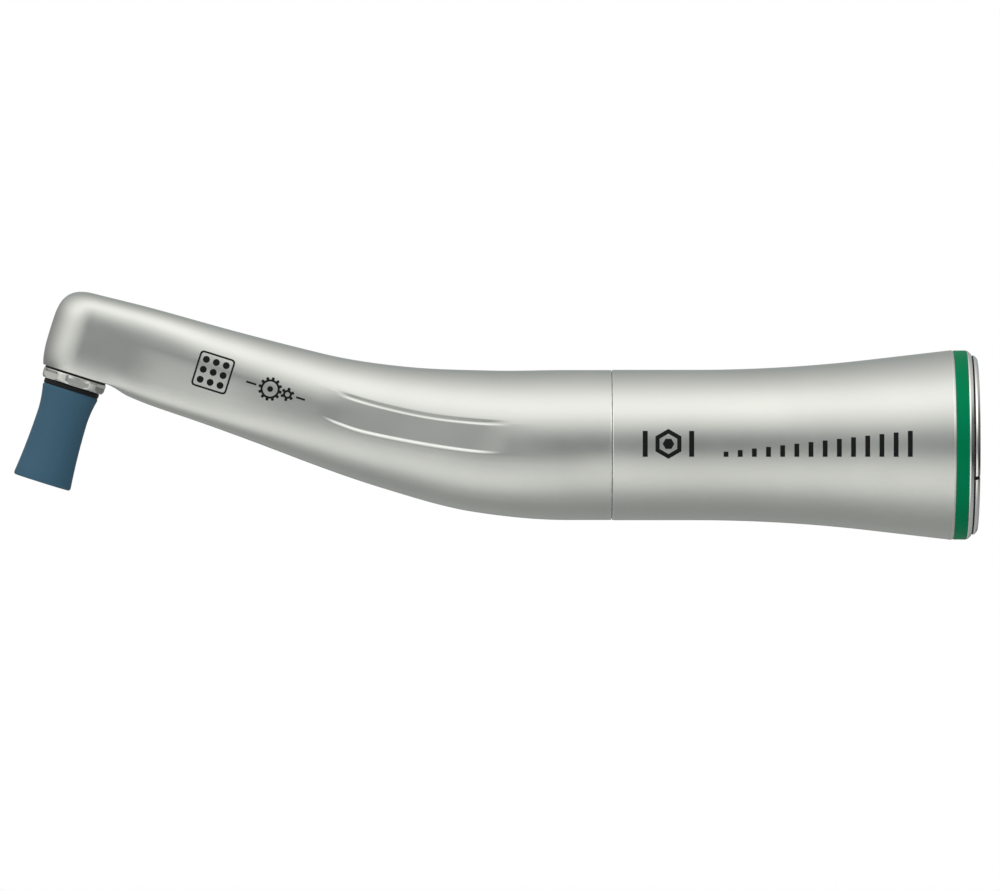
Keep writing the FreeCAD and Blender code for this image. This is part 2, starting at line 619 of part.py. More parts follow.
def build_planetary():
    teeth = int(size("ring_teeth"))
    pitch = size("gear_module") * teeth / 2
    length = dim("ring_end") - "ring_start"
    blank = cylinder("ring_gear_blank", dim("gearbox_bore") - GAP, length, along(HANDLE, "ring_start"))
    space = (math.pi * (size("planet_teeth") - 1)) / teeth
    wire = gear_profile(teeth, pitch - size("addendum") * size("gear_module"),
                        pitch + size("dedendum") * size("gear_module"), pitch, True, space)
    hollow = doc.addObject("Part::Extrusion", "ring_gear_hollow")
    hollow.Base = feature("ring_gear_profile", Part.Face(wire), along(HANDLE, "ring_start"))
    hollow.DirMode = "Custom"
    hollow.Dir = Vector(-1, 0, 0)
    hollow.Solid = True
    bind(hollow, LengthFwd=length)
    keep("ring_gear", cut("ring_gear", blank, hollow))

    plate = dim("first_carrier_depth")
    bore = dim("pilot_radius") + 0.03
    holes = build_stage("first", "first_carrier", dim("first_planet_depth") - 0.2, plate + "carrier_width")
    sun_start = dim("second_planet_depth") - 0.1
    sun_end = dim("second_carrier_depth") - 0.2
    first = turned("first_carrier_turned", shifted([
        (plate, bore), (plate + "carrier_width", bore), (plate + "carrier_width", 0),
        (dim("second_carrier_depth") + 0.8, 0), (dim("second_carrier_depth") + 0.8, "pilot_radius"),
        (sun_end, "pilot_radius"), (sun_end, "sun_core"), (plate + "carrier_width", "sun_core"),
        (plate + "carrier_width", "carrier_radius"), (plate, "carrier_radius"),
    ], plate), along(HANDLE, plate))
    sun = spur_gear("second_sun", int(size("sun_teeth")), sun_end - sun_start, along(HANDLE, sun_start), 0)
    keep("first_carrier", cut("first_carrier", fuse("first_carrier_blank", first, sun), *holes))

    plate = dim("second_carrier_depth")
    holes = build_stage("second", "second_carrier", dim("second_planet_depth") - 0.2,
                        plate + "carrier_width")
    journal = dim("large_bore") - GAP
    seat_start = dim("middle_front_depth") + "large_width"
    second = turned("second_carrier_turned", shifted([
        (plate, bore), (plate + "carrier_width", bore), (plate + "carrier_width", 0), ("middle_end", 0),
        ("middle_end", "gear_seat"), (seat_start, "gear_seat"), (seat_start, journal),
        ("middle_rear_depth", journal), ("middle_rear_depth", "shaft_collar"),
        (plate + "carrier_width", "shaft_collar"), (plate + "carrier_width", "carrier_radius"),
        (plate, "carrier_radius"),
    ], plate), along(HANDLE, plate))
    keep("second_carrier", cut("second_carrier", second, *holes))


def build_middle():
    shoulder = dim("web_bore")
    cover_outer = dim("gearbox_bore") - GAP
    seat = dim("middle_rear_depth")
    keep("gearbox_cover", turned("gearbox_cover", shifted([
        ("cover_start", shoulder), (seat, shoulder), (seat, "large_outer"), ("cover_end", "large_outer"),
        ("cover_end", cover_outer), ("cover_start", cover_outer),
    ], "cover_start"), along(HANDLE, "cover_start")))
    seat = dim("middle_front_depth")
    keep("middle_bearing_holder", turned("middle_bearing_holder", shifted([
        ("holder_start", "holder_bore"), (seat, "holder_bore"), (seat, "large_outer"),
        ("holder_end", "large_outer"), ("holder_end", "holder_radius"), ("holder_start", "holder_radius"),
    ], "holder_start"), along(HANDLE, "holder_start")))
    rear = size("bend_depth") - size("middle_front_depth") - size("large_width") - 0.1
    keep_bored_gear("middle_gear", bend_gear(-1, -math.pi / 2, size("bend_hub"), rear),
                    at(HANDLE, size("bend_depth")), "gear_seat", -8)


# Bend, neck and head

def bend_gear(outgoing, turn, hub_radius, rear):
    cone = math.radians(90 - size("neck_angle") / 2)
    return bevel_gear(int(size("bend_teeth")), size("bend_gear_radius"), cone, size("bend_face"),
                      outgoing, turn, hub_radius, rear)


def keep_bored_gear(node, shape, place, seat, start):
    """A gear with a bore for its shaft's seat."""
    bore = cylinder(node + "_bore", dim(seat) + GAP * 0.5, 8, place.multiply(
        Placement(Vector(start, 0, 0), Rotation())))
    keep(node, cut(node, feature(node + "_blank", shape, place), bore))


def head_gear(outgoing, turn, hub_radius, rear):
    return bevel_gear(int(size("head_teeth")), size("head_gear_radius"), math.radians(45),
                      size("head_face"), outgoing, turn, hub_radius, rear)


def build_neck():
    keep_bored_gear("front_shaft_gear", bend_gear(1, -math.pi / 2 + math.pi / size("bend_teeth"),
                                                  size("neck_hub"), size("front_rear_bearing") - 0.1),
                    NECK, "front_seat", 0)
    journal = dim("small_bore") - GAP
    rear, front = dim("front_rear_bearing"), dim("front_front_bearing")
    pinion_rear = dim("neck_length") - "pinion_hub"
    shaft = turned("front_shaft_turned", shifted([
        ("front_shaft_start", 0), ("front_shaft_start", "front_seat"), (rear - 0.05, "front_seat"),
        (rear - 0.05, journal), (rear + "small_width", journal),
        (rear + "small_width", "front_shaft_radius"), (front - 0.1, "front_shaft_radius"),
        (front - 0.1, journal), (front + "small_width", journal),
        (front + "small_width", "pinion_hub_radius"), (pinion_rear + 0.1, "pinion_hub_radius"),
        (pinion_rear + 0.1, 0),
    ], "front_shaft_start"), along(NECK, "front_shaft_start"))
    pinion = feature("front_pinion", head_gear(-1, math.pi / 2, size("pinion_hub_radius"),
                                               size("pinion_hub")), at(NECK, size("neck_length")))
    keep("front_shaft", fuse("front_shaft", shaft, pinion))
    seat_end = rear + "small_width"
    keep("front_bearing_sleeve", turned("front_bearing_sleeve", shifted([
        ("cartridge_start", "small_outer"), (seat_end, "small_outer"), (seat_end, "cartridge_bore"),
        (front, "cartridge_bore"), (front, "small_outer"), ("cartridge_end", "small_outer"),
        ("cartridge_end", "cartridge_radius"), ("cartridge_start", "cartridge_radius"),
    ], "cartridge_start"), along(NECK, "cartridge_start")))


def build_spindle():
    top = dim("upper_bearing")
    journal = dim("small_bore") - GAP
    bearing_end = top + "small_width"
    hole_end = dim("thread_start")
    shaft = turned("spindle_turned", shifted([
        (top, 0), (top, journal), (bearing_end + 0.05, journal), (bearing_end + 0.05, "spindle_neck"),
        ("spindle_gear_front", "spindle_neck"), ("spindle_gear_front", "spindle_core"),
        ("journal_start", "spindle_core"), ("journal_start", "journal_radius"),
        ("spindle_end", "journal_radius"), ("spindle_end", "thread_radius"),
        (hole_end, "thread_radius"), (hole_end, 0),
    ], top), along(HEAD, top))
    gear = head_gear(1, math.pi / 2 + math.pi / size("head_teeth"), size("journal_radius"),
                     size("journal_start") + 0.05)
    bore = cylinder("spindle_gear_bore", "spindle_core", 4, HEAD)
    keep("spindle", fuse("spindle", shaft, cut("spindle_gear", feature("spindle_gear_blank", gear, HEAD),
                                               bore)))
    keep("lower_bush", tube("lower_bush", dim("journal_radius") + GAP, "bush_radius",
                            dim("bush_end") - "bush_start", along(HEAD, "bush_start")))
    keep("spindle_seal", tube("spindle_seal", dim("journal_radius") + GAP, "seal_radius",
                              dim("cup_top") - "head_ring_end" - GAP * 2,
                              along(HEAD, dim("head_ring_end") + GAP)))


def build_head_ring():
    spigot = dim("head_bore") - GAP
    edge = 0.3
    ring = turned("head_ring_turned", shifted([
        ("spigot_start", dim("bush_radius") + GAP), (dim("bush_end") + 0.05, dim("bush_radius") + GAP),
        (dim("bush_end") + 0.05, dim("journal_radius") + 0.25),
        ("head_ring_end", dim("journal_radius") + 0.25),
        ("head_ring_end", dim("ring_flange") - edge), (dim("head_ring_end") - edge, "ring_flange"),
        ("flange_start", "ring_flange"), ("flange_start", spigot), ("spigot_start", spigot),
    ], "spigot_start"), along(HEAD, "spigot_start"))
    hexagon = doc.addObject("Part::Prism", "head_ring_hexagon")
    hexagon.Polygon = 6
    bind(hexagon, Circumradius=dim("head_ring_flats") * (2 / math.sqrt(3)), Height=2)
    hexagon.Placement = along(HEAD, "flat_start", size("hex_turn")).multiply(
        Placement(Vector(), Rotation(Y_AXIS, 90)))
    waste = cut("head_ring_waste", cylinder("head_ring_band", 4, 2, along(HEAD, "flat_start")), hexagon)
    keep("head_ring", cut("head_ring", ring, waste))


def build_cup():
    top = dim("cup_top")
    shank = dim("thread_radius") - GAP
    pocket = dim("stud_head") + 0.05
    pocket_top, pocket_floor = dim("stud_head_start") - 0.05, dim("stud_head_end") + 0.05
    hollow = dim("cup_end") - "cup_hollow"
    edge = 0.18
    blank = turned("polishing_cup_turned", shifted([
        (top, shank + 0.04), (pocket_top, shank + 0.04), (pocket_top, pocket), (pocket_floor, pocket),
        (pocket_floor, 0), (hollow, 0), (hollow, "cup_floor"), ("cup_end", "cup_mouth"),
        ("cup_end", dim("cup_end_radius") - edge), (dim("cup_end") - edge, "cup_end_radius", "cup_flare_arc"),
        ("cup_waist", "cup_waist_radius", "cup_top_arc"), (top + edge, "cup_top_radius"),
        (top, dim("cup_top_radius") - edge),
    ], top), along(HEAD, top))
    rib_length = dim("cup_hollow") - 0.7
    ribs = []
    for k in range(int(size("cup_ribs"))):
        turn = FULL_TURN * (k + 0.5) / size("cup_ribs")
        place = along(HEAD, hollow - 0.1, turn).multiply(
            Placement(Vector(0, size("rib_inner"), -size("rib_width") / 2), Rotation()))
        ribs.append(box(f"cup_rib_{k + 1}", rib_length, dim("cup_mouth") - "rib_inner", "rib_width", place))
    keep("polishing_cup", fuse("polishing_cup", blank, *ribs))
    head, nose = dim("stud_head_start"), dim("stud_start")
    keep("cup_stud", turned("cup_stud", shifted([
        (nose, 0), (nose, shank - 0.15), (nose + 0.15, shank), (head, shank), (head, "stud_head"),
        ("stud_head_end", "stud_head"), ("stud_head_end", 0),
    ], nose), along(HEAD, nose)))


def oval(name, place, height, width):
    """An upright oval across a frame's X; its long axis is the height."""
    made = doc.addObject("Part::Ellipse", name)
    bind(made, MajorRadius=height, MinorRadius=width)
    made.Placement = place.multiply(Placement(Vector(), Rotation(Y_AXIS, -90)))
    return made


def front_shell():
    """The outer form of the front body: ovals along the centre line, and the turned head."""
    radius, angle = size("bend_radius"), NECK_ANGLE
    tangent = radius * math.tan(angle / 2)
    arc_start = size("bend_depth") - tangent
    ovals = [oval("front_oval_0", at(HANDLE, size("seam_depth")), "height_1", "width_1"),
             oval("front_oval_1", at(HANDLE, arc_start), "height_1", "width_1")]
    for number, travel in ((2, 9.0), (3, 18.0)):
        turn = travel / radius
        spot = Vector(arc_start + radius * math.sin(turn), 0, -radius * (1 - math.cos(turn)))
        place = HANDLE.multiply(Placement(spot, Rotation(Y_AXIS, math.degrees(turn))))
        ovals.append(oval(f"front_oval_{number}", place, f"height_{number}", f"width_{number}"))
    for number, reach, rise in ((4, 13.36, 0), (5, 23.76, 0), (6, 32.36, 0), (7, 37.26, size("rise_7"))):
        ovals.append(oval(f"front_oval_{number}", at(NECK, reach, 0, -rise), f"height_{number}",
                          f"width_{number}"))
    loft = doc.addObject("Part::Loft", "front_loft")
    loft.Sections = ovals
    loft.Solid = True
    head = turned("head_turned", [
        (0, 0), (0, dim("head_radius") - "head_round", "head_round"), ("head_round", "head_radius"),
        (dim("head_top") + "head_side_end", "head_radius", "head_seam_round"),
        (dim("head_top") + "head_seam", "head_seam_radius"), (dim("head_top") + "head_seam", 0),
    ], along(HEAD, -dim("head_top")))
    return fuse("front_form", loft, head)


def build_front_body():
    shell = front_shell()
    tools = [
        cylinder("spigot_bore", dim("spigot_radius") + 0.05, dim("body_end") - "seam_depth" + 1.2,
                 along(HANDLE, dim("seam_depth") - 1)),
        cylinder("holder_bore_tool", dim("holder_radius") + GAP, dim("holder_end") - "body_end" + 1,
                 along(HANDLE, dim("body_end") - 1)),
        cylinder("bend_cavity_rear", "bend_cavity", 6, along(HANDLE, dim("holder_end") - 0.1)),
        cylinder("bend_cavity_front", "bend_cavity", 7.2, at(NECK, -3)),
        cylinder("neck_bore", dim("cartridge_radius") + GAP, dim("neck_bore_end") - "cartridge_start" + 0.4,
                 along(NECK, dim("cartridge_start") - 0.4)),
        cylinder("upper_bearing_seat", "small_outer", 3, along(HEAD, dim("upper_bearing") - 0.05)),
        cylinder("head_cavity", "head_bore", 8, along(HEAD, -2)),
        cylinder("ring_spot_face", dim("ring_flange") + 2 * GAP, 2, along(HEAD, "head_seam")),
        feature("rod_channel", rod_shape(size("rod_radius") + size("rod_gap"), 36, 3), Placement()),
    ]
    keep("front_body", cut("front_body", shell, *tools))
    rear = box("rod_region_rear", size("body_end") + 0.5, 20, 20, Placement(
        Vector(-size("body_end"), -10, -10), Rotation()))
    rod = doc.addObject("Part::Common", "light_rod")
    rod.Base = feature("rod_blank", rod_shape(size("rod_radius"), size("mouth_depth"), 3), Placement())
    rod.Tool = fuse("rod_region", rear, doc.getObject("front_loft"))
    keep("light_rod", rod)


def build_bearings():
    bearing("input_bearing", "large", along(HANDLE, "input_bearing_depth"))
    bearing("middle_rear_bearing", "large", along(HANDLE, "middle_rear_depth"))
    bearing("middle_front_bearing", "large", along(HANDLE, "middle_front_depth"))
    bearing("neck_rear_bearing", "small", along(NECK, "front_rear_bearing"))
    bearing("neck_front_bearing", "small", along(NECK, "front_front_bearing"))
    bearing("head_upper_bearing", "small", along(HEAD, "upper_bearing"))


def check_document():
    """Stops if any object is in error or has no sound shape."""
    for thing in doc.Objects:
        bad = {"Invalid", "Error"} & set(thing.State)
        if bad:
            raise RuntimeError(f"{thing.Name}: {sorted(bad)}")
        if not hasattr(thing, "Shape") or thing.TypeId.startswith("App::"):
            continue
        if thing.Shape.isNull() or not thing.Shape.isValid():
            raise RuntimeError(f"{thing.Name}: its shape is empty or not valid")


build_rear()
build_coupling()
build_input_shaft()
build_dog()
build_dog_spring()
build_planetary()
build_middle()
build_neck()
build_spindle()
build_head_ring()
build_cup()
build_front_body()
build_bearings()
doc.recompute()
check_document()

os.makedirs("parts", exist_ok=True)
for node, thing in parts.items():
    thing.Shape.exportStep(f"parts/{node}.step")
    print(f"{node}: {len(thing.Shape.Solids)} solids, {thing.Shape.Volume:.3f} mm3")
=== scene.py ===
"""Looks of the contra angle handpiece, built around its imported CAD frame.

Lengths are in millimetres until a mesh is made. Three working frames match the object's shafts:

    HANDLE  depth from the coupling's mouth, forwards along the handle
    NECK    reach from the point where the two shaft axes cross, towards the head
    HEAD    drop from where the neck's axis meets the spindle's axis, down towards the cup
"""
import json
import math
import bmesh
import bpy
import numpy as np
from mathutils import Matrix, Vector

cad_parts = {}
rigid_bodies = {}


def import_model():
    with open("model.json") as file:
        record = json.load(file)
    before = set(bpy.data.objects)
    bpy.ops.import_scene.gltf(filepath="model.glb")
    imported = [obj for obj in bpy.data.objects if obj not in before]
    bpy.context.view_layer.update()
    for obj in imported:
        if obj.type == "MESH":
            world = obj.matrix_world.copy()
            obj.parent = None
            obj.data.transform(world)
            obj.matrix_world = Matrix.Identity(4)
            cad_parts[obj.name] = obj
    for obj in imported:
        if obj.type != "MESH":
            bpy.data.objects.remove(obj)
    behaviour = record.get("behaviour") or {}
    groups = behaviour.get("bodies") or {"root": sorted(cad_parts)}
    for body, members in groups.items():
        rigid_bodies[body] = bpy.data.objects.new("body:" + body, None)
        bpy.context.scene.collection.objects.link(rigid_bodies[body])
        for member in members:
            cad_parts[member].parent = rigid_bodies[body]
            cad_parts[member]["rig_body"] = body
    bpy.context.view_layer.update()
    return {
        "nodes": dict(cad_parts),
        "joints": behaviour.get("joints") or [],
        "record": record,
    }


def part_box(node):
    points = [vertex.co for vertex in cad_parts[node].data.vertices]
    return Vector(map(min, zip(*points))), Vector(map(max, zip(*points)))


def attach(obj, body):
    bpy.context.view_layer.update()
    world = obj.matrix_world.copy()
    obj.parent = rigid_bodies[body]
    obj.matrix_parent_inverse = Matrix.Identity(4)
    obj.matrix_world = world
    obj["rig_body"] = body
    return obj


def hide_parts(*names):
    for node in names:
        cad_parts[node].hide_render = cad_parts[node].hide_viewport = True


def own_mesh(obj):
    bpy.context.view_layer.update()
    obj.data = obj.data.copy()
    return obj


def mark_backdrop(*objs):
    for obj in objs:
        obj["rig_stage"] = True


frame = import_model()

MM = 0.001
JOINTS = {joint["name"]: joint for joint in frame["joints"]}
Y_WAY = np.array([0.0, 1.0, 0.0])


class Axis:
    """A shaft's line: a point on it, the way along it and the two ways across it."""

    def __init__(self, point, way):
        self.point = np.array(point, float) / MM
        self.way = np.array(way, float)
        self.up = np.cross(Y_WAY, self.way)

    def at(self, along, radius=0.0, angle=0.0):
        """Points at a distance along the axis and out from it; angle runs from +Y towards up."""
        along, radius, angle = (np.asarray(v, float)[..., None] for v in (along, radius, angle))
        return (self.point + self.way * along
                + radius * (np.cos(angle) * Y_WAY + np.sin(angle) * self.up))


HANDLE = Axis((0, 0, 0), JOINTS["input_shaft_spin"]["axis"])
NECK = Axis(JOINTS["front_shaft_spin"]["pos_m"], JOINTS["front_shaft_spin"]["axis"])
HEAD = Axis(JOINTS["spindle_spin"]["pos_m"], JOINTS["spindle_spin"]["axis"])
NECK_ANGLE = math.acos(float(NECK.way @ HANDLE.way))
BEND_DEPTH = float(-NECK.point[0])
NECK_LENGTH = float(np.linalg.norm(HEAD.point - NECK.point))


# Curves and meshes. Points nearer than SAME_POINT millimetres count as one.

SAME_POINT = 1e-4
NEARLY_STRAIGHT = math.radians(89)


def smooth_step(x):
    """0 up to 0, 1 from 1 on, and a smooth rise between."""
    x = np.clip(x, 0, 1)
    return x * x * (3 - 2 * x)


def smooth_curve(knots):
    """A smooth curve through (x, y) knots with no overshoot, level beyond both ends."""
    xs, ys = (np.array(column, float) for column in zip(*knots))
    slopes = np.diff(ys) / np.diff(xs)
    inner = np.where(slopes[1:] * slopes[:-1] > 0,
                     2 * slopes[1:] * slopes[:-1] / (slopes[1:] + slopes[:-1] + 1e-12), 0)
    tangents = np.concatenate([[0], inner, [slopes[-1]]])

    def value(x):
        x = np.clip(np.asarray(x, float), xs[0], xs[-1])
        i = np.clip(np.searchsorted(xs, x, side="right") - 1, 0, len(xs) - 2)
        span = xs[i + 1] - xs[i]
        t = (x - xs[i]) / span
        return (ys[i] * (1 + 2 * t) * (1 - t) ** 2 + tangents[i] * span * t * (1 - t) ** 2
                + ys[i + 1] * t * t * (3 - 2 * t) + tangents[i + 1] * span * t * t * (t - 1))

    return value


def rounded(outline, steps=5):
    """The points of an outline of (axial, radial[, corner radius]), with its corners rounded, and
    how much wear and painted highlight each point gets: most in the middle of a rounded corner."""
    points = [np.array(p[:2], float) for p in outline]
    radii = [p[2] if len(p) > 2 else 0.0 for p in outline]
    made, wear_and_highlight = [], []
    for i, (corner, radius) in enumerate(zip(points, radii)):
        before, after = points[i - 1], points[(i + 1) % len(points)]
        into = (before - corner) / np.linalg.norm(before - corner)
        out = (after - corner) / np.linalg.norm(after - corner)
        half = math.acos(float(np.clip(into @ out, -1, 1))) / 2
        if radius == 0 or half > NEARLY_STRAIGHT:
            made.append(corner)
            wear_and_highlight.append(0.0)
            continue
        reach = radius / math.tan(half)
        middle = into + out
        centre = corner + middle / np.linalg.norm(middle) * radius / math.sin(half)
        start, end = corner + into * reach - centre, corner + out * reach - centre
        turn = math.atan2(start[0] * end[1] - start[1] * end[0], float(start @ end))
        for k in range(steps + 1):
            a = turn * k / steps
            made.append(centre + np.array([start[0] * math.cos(a) - start[1] * math.sin(a),
                                           start[0] * math.sin(a) + start[1] * math.cos(a)]))
            wear_and_highlight.append(math.sin(math.pi * k / steps))
    return np.array(made), np.array(wear_and_highlight)


def make_mesh(name, points, faces, wear_and_highlight=None, smooth_angle=30):
    """An object from points in millimetres, smooth except at edges sharper than smooth_angle
    in degrees. Points in one place become one, and loose edges go."""
    mesh = bpy.data.meshes.new(name)
    mesh.from_pydata((np.asarray(points) * MM).tolist(), [], faces)
    layer = mesh.attributes.new("wear_and_highlight", "FLOAT", "POINT")
    if wear_and_highlight is not None:
        layer.data.foreach_set("value", np.ravel(wear_and_highlight).tolist())
    work = bmesh.new()
    work.from_mesh(mesh)
    bmesh.ops.remove_doubles(work, verts=work.verts, dist=SAME_POINT * MM)
    loose = [edge for edge in work.edges if not edge.link_faces]
    bmesh.ops.delete(work, geom=loose, context="EDGES")
    bmesh.ops.recalc_face_normals(work, faces=work.faces)
    work.to_mesh(mesh)
    work.free()
    thing = bpy.data.objects.new(name, mesh)
    bpy.context.scene.collection.objects.link(thing)
    smooth(thing, smooth_angle)
    return thing


def smooth(thing, angle=30):
    """Shades a piece smooth, except at edges sharper than an angle in degrees."""
    thing.data.polygons.foreach_set("use_smooth", [True] * len(thing.data.polygons))
    thing.data.set_sharp_from_angle(angle=math.radians(angle))


def grid_faces(rows, columns, wrap_rows=False, wrap_columns=False):
    """The quads of a grid of points in row order."""
    faces = []
    for i in range(rows if wrap_rows else rows - 1):
        for j in range(columns if wrap_columns else columns - 1):
            i2, j2 = (i + 1) % rows, (j + 1) % columns
            faces.append((i * columns + j, i * columns + j2, i2 * columns + j2, i2 * columns + j))
    return faces


def lathe(name, outline, axis, steps=256, shape=None):
    """A closed piece turned from an outline of (axial, radial[, corner radius]) about an axis.
    shape may change the radius by position and angle."""
    profile, wear_and_highlight = rounded(outline)
    angles = np.linspace(0, 2 * math.pi, steps, endpoint=False)
    along = np.broadcast_to(profile[:, 0][None, :], (steps, len(profile)))
    radius = np.broadcast_to(profile[:, 1][None, :], (steps, len(profile)))
    turn = np.broadcast_to(angles[:, None], (steps, len(profile)))
    if shape is not None:
        radius = shape(along, radius, turn)
    points = axis.at(along, radius, turn).reshape(-1, 3)
    faces = grid_faces(steps, len(profile), True, True)
    return make_mesh(name, points, faces, np.tile(wear_and_highlight, steps))


def bar_cutter(name, axis, start, end, radius, steps=96):
    """A plain cylinder along an axis, used as a cutter."""
    return lathe(name, [(start, 0), (end, 0), (end, radius), (start, radius)], axis, steps)


def hose(name, path, radius, steps=40, sides=None):
    """A round bar along a path of points; sides are unit vectors square to the path."""
    path = np.asarray(path, float)
    sides = np.broadcast_to(Y_WAY, path.shape) if sides is None else sides
    ways = np.gradient(path, axis=0)
    ways /= np.linalg.norm(ways, axis=1)[:, None]
    across = np.cross(ways, sides)
    angles = np.linspace(0, 2 * math.pi, steps, endpoint=False)
    cosine, sine = np.cos(angles)[:, None], np.sin(angles)[:, None]
    rings = [path[i] + radius * (cosine * sides[i] + sine * across[i]) for i in range(len(path))]
    faces = grid_faces(len(path), steps, wrap_columns=True)
    faces += [tuple(reversed(range(steps))),
              tuple((len(path) - 1) * steps + j for j in range(steps))]
    return make_mesh(name, np.concatenate(rings), faces)


def combine(thing, others, operation):
    """Cuts or joins other objects into thing, and removes them."""
    for other in others:
        step = thing.modifiers.new("combine", "BOOLEAN")
        step.operation = operation
        step.solver = "MANIFOLD"
        step.object = other
        bpy.context.view_layer.objects.active = thing
        with bpy.context.temp_override(object=thing, active_object=thing, selected_objects=[thing]):
            bpy.ops.object.modifier_apply(modifier=step.name)
        bpy.data.objects.remove(other)
    smooth(thing)
    return thing


# Front body: its sections along the centre line. ARC_START is the travel at which the bend begins.

SEAM_DEPTH = 38.0
SEAM_GAP = 0.02
BEND_RADIUS = 90.0
ARC_DEPTH = BEND_DEPTH - BEND_RADIUS * math.tan(NECK_ANGLE / 2)
ARC_START = ARC_DEPTH - SEAM_DEPTH
ARC_LENGTH = BEND_RADIUS * NECK_ANGLE
PATH_LENGTH = ARC_START + ARC_LENGTH + NECK_LENGTH - BEND_RADIUS * math.tan(NECK_ANGLE / 2)
HEAD_RADIUS = 3.97
HEAD_TOP = 4.41
SEAM_DROP = 4.22
SEAM_RADIUS = 3.55

height_above = smooth_curve([(ARC_START, 7.8), (ARC_START + 9, 7.34), (ARC_START + 18, 6.46),
                             (ARC_START + 27, 5.62), (ARC_START + 37.4, 5.04),
                             (ARC_START + 46, 4.74), (PATH_LENGTH, HEAD_TOP)])
height_below = smooth_curve([(ARC_START, 7.8), (ARC_START + 9, 7.45), (ARC_START + 18, 6.44),
                             (ARC_START + 27, 5.62), (ARC_START + 37.4, 5.1),
                             (ARC_START + 43, 4.95), (ARC_START + 45.8, 4.72),
                             (ARC_START + 47.3, 4.43), (ARC_START + 48.3, SEAM_DROP),
                             (PATH_LENGTH, SEAM_DROP)])
half_width = smooth_curve([(ARC_START, 7.8), (ARC_START + 9, 7.2), (ARC_START + 18, 6.2),
                           (ARC_START + 27, 5.3), (ARC_START + 37.4, 4.55), (ARC_START + 46, 4.1),
                           (PATH_LENGTH, HEAD_RADIUS)])
square_above = smooth_curve([(ARC_START, 2.0), (ARC_START + 14, 2.04), (ARC_START + 30, 2.18),
                             (ARC_START + 38, 2.42), (ARC_START + 44, 2.9), (PATH_LENGTH, 3.2)])
square_below = smooth_curve([(ARC_START - 4, 2.0), (ARC_START + 2, 2.2), (ARC_START + 9, 2.38),
                             (ARC_START + 18, 2.42), (ARC_START + 24, 2.65), (ARC_START + 30, 3.4),
                             (ARC_START + 36, 5.2), (ARC_START + 43, 6.4), (PATH_LENGTH, 6.4)])
lean_below = smooth_curve([(ARC_START + 20, 0), (ARC_START + 30, 0.07), (ARC_START + 37, 0.18),
                           (ARC_START + 43, 0.17), (ARC_START + 48, 0.03), (PATH_LENGTH, 0)])


LEAN_TOP = 1.0


def lean(travel, height):
    """How much the flat lower part of a side leans in, below LEAN_TOP above the centre line."""
    drop = np.maximum(LEAN_TOP - np.asarray(height, float), 0)
    return lean_below(travel) * drop ** 2 / (drop + 1)


def path_point(travel):
    """Points and upward ways of the centre line, by travel from the seam."""
    travel = np.asarray(travel, float)
    turn = np.clip(travel - ARC_START, 0, ARC_LENGTH) / BEND_RADIUS
    forward = np.minimum(travel, ARC_START) + BEND_RADIUS * np.sin(turn)
    lift = BEND_RADIUS * (1 - np.cos(turn))
    beyond = np.maximum(travel - ARC_START - ARC_LENGTH, 0)
    forward = forward + beyond * np.cos(NECK_ANGLE)
    lift = lift + beyond * np.sin(NECK_ANGLE)
    points = np.stack([-(SEAM_DEPTH + forward), 0 * forward, lift], -1)
    ups = np.stack([np.sin(turn), 0 * turn, np.cos(turn)], -1)
    return points, ups


# Grip channels: a flattened strip on each side of the bend, with a groove along its top and a step
# along its floor. Each part's extent is where it starts and ends, from ARC_START, and how gently.

TOP_EXTENT = (5.6, 25.2, 4.2, 2.6)
FLOOR_EXTENT = (5.9, 26.4, 4.0, 3.0)
FLAT_EXTENT = (1.5, 28.5, 14, 10)
GROOVE_DEPTH = 0.105
GROOVE_OUTER = 0.4
GROOVE_INNER = 0.27
STEP_DEPTH = 0.17
STEP_WIDTH = 0.46
STEP_POWER = 1.5
STRIP_EDGE = 0.1
# A painted highlight: a bright line along the step, just above the channel's floor, carried as
# wear.
STEP_HIGHLIGHT, STEP_HIGHLIGHT_HEIGHT, STEP_HIGHLIGHT_WIDTH = 0.5, 0.3, 0.1
channel_top = smooth_curve([(ARC_START + 5.6, 2.0), (ARC_START + 9.3, 1.87),
                            (ARC_START + 14.6, 1.76), (ARC_START + 20, 1.86),
                            (ARC_START + 23.3, 2.0), (ARC_START + 26, 2.3)])
channel_floor = smooth_curve([(ARC_START + 5.6, -1.32), (ARC_START + 9, -1.42),
                              (ARC_START + 17, -1.37), (ARC_START + 21, -1.39),
                              (ARC_START + 24.1, -1.18), (ARC_START + 26.5, -0.8)])


def surface_side(travel, height):
    """The front body's half width at a height above its centre line, before the channels."""
    upper = np.asarray(height) > 0
    limit = np.where(upper, height_above(travel), height_below(travel))
    power = np.where(upper, square_above(travel), square_below(travel))
    share = np.clip(np.abs(height) / limit, 0, 1)
    return half_width(travel) * (1 - share ** power) ** (1 / power) - lean(travel, height)


def fade(travel, start, end, ramp_in, ramp_out):
    """1 inside an extent and 0 outside it, with smooth ramps at its ends."""
    return (smooth_step((travel - (ARC_START + start)) / ramp_in)
            * smooth_step((ARC_START + end - travel) / ramp_out))


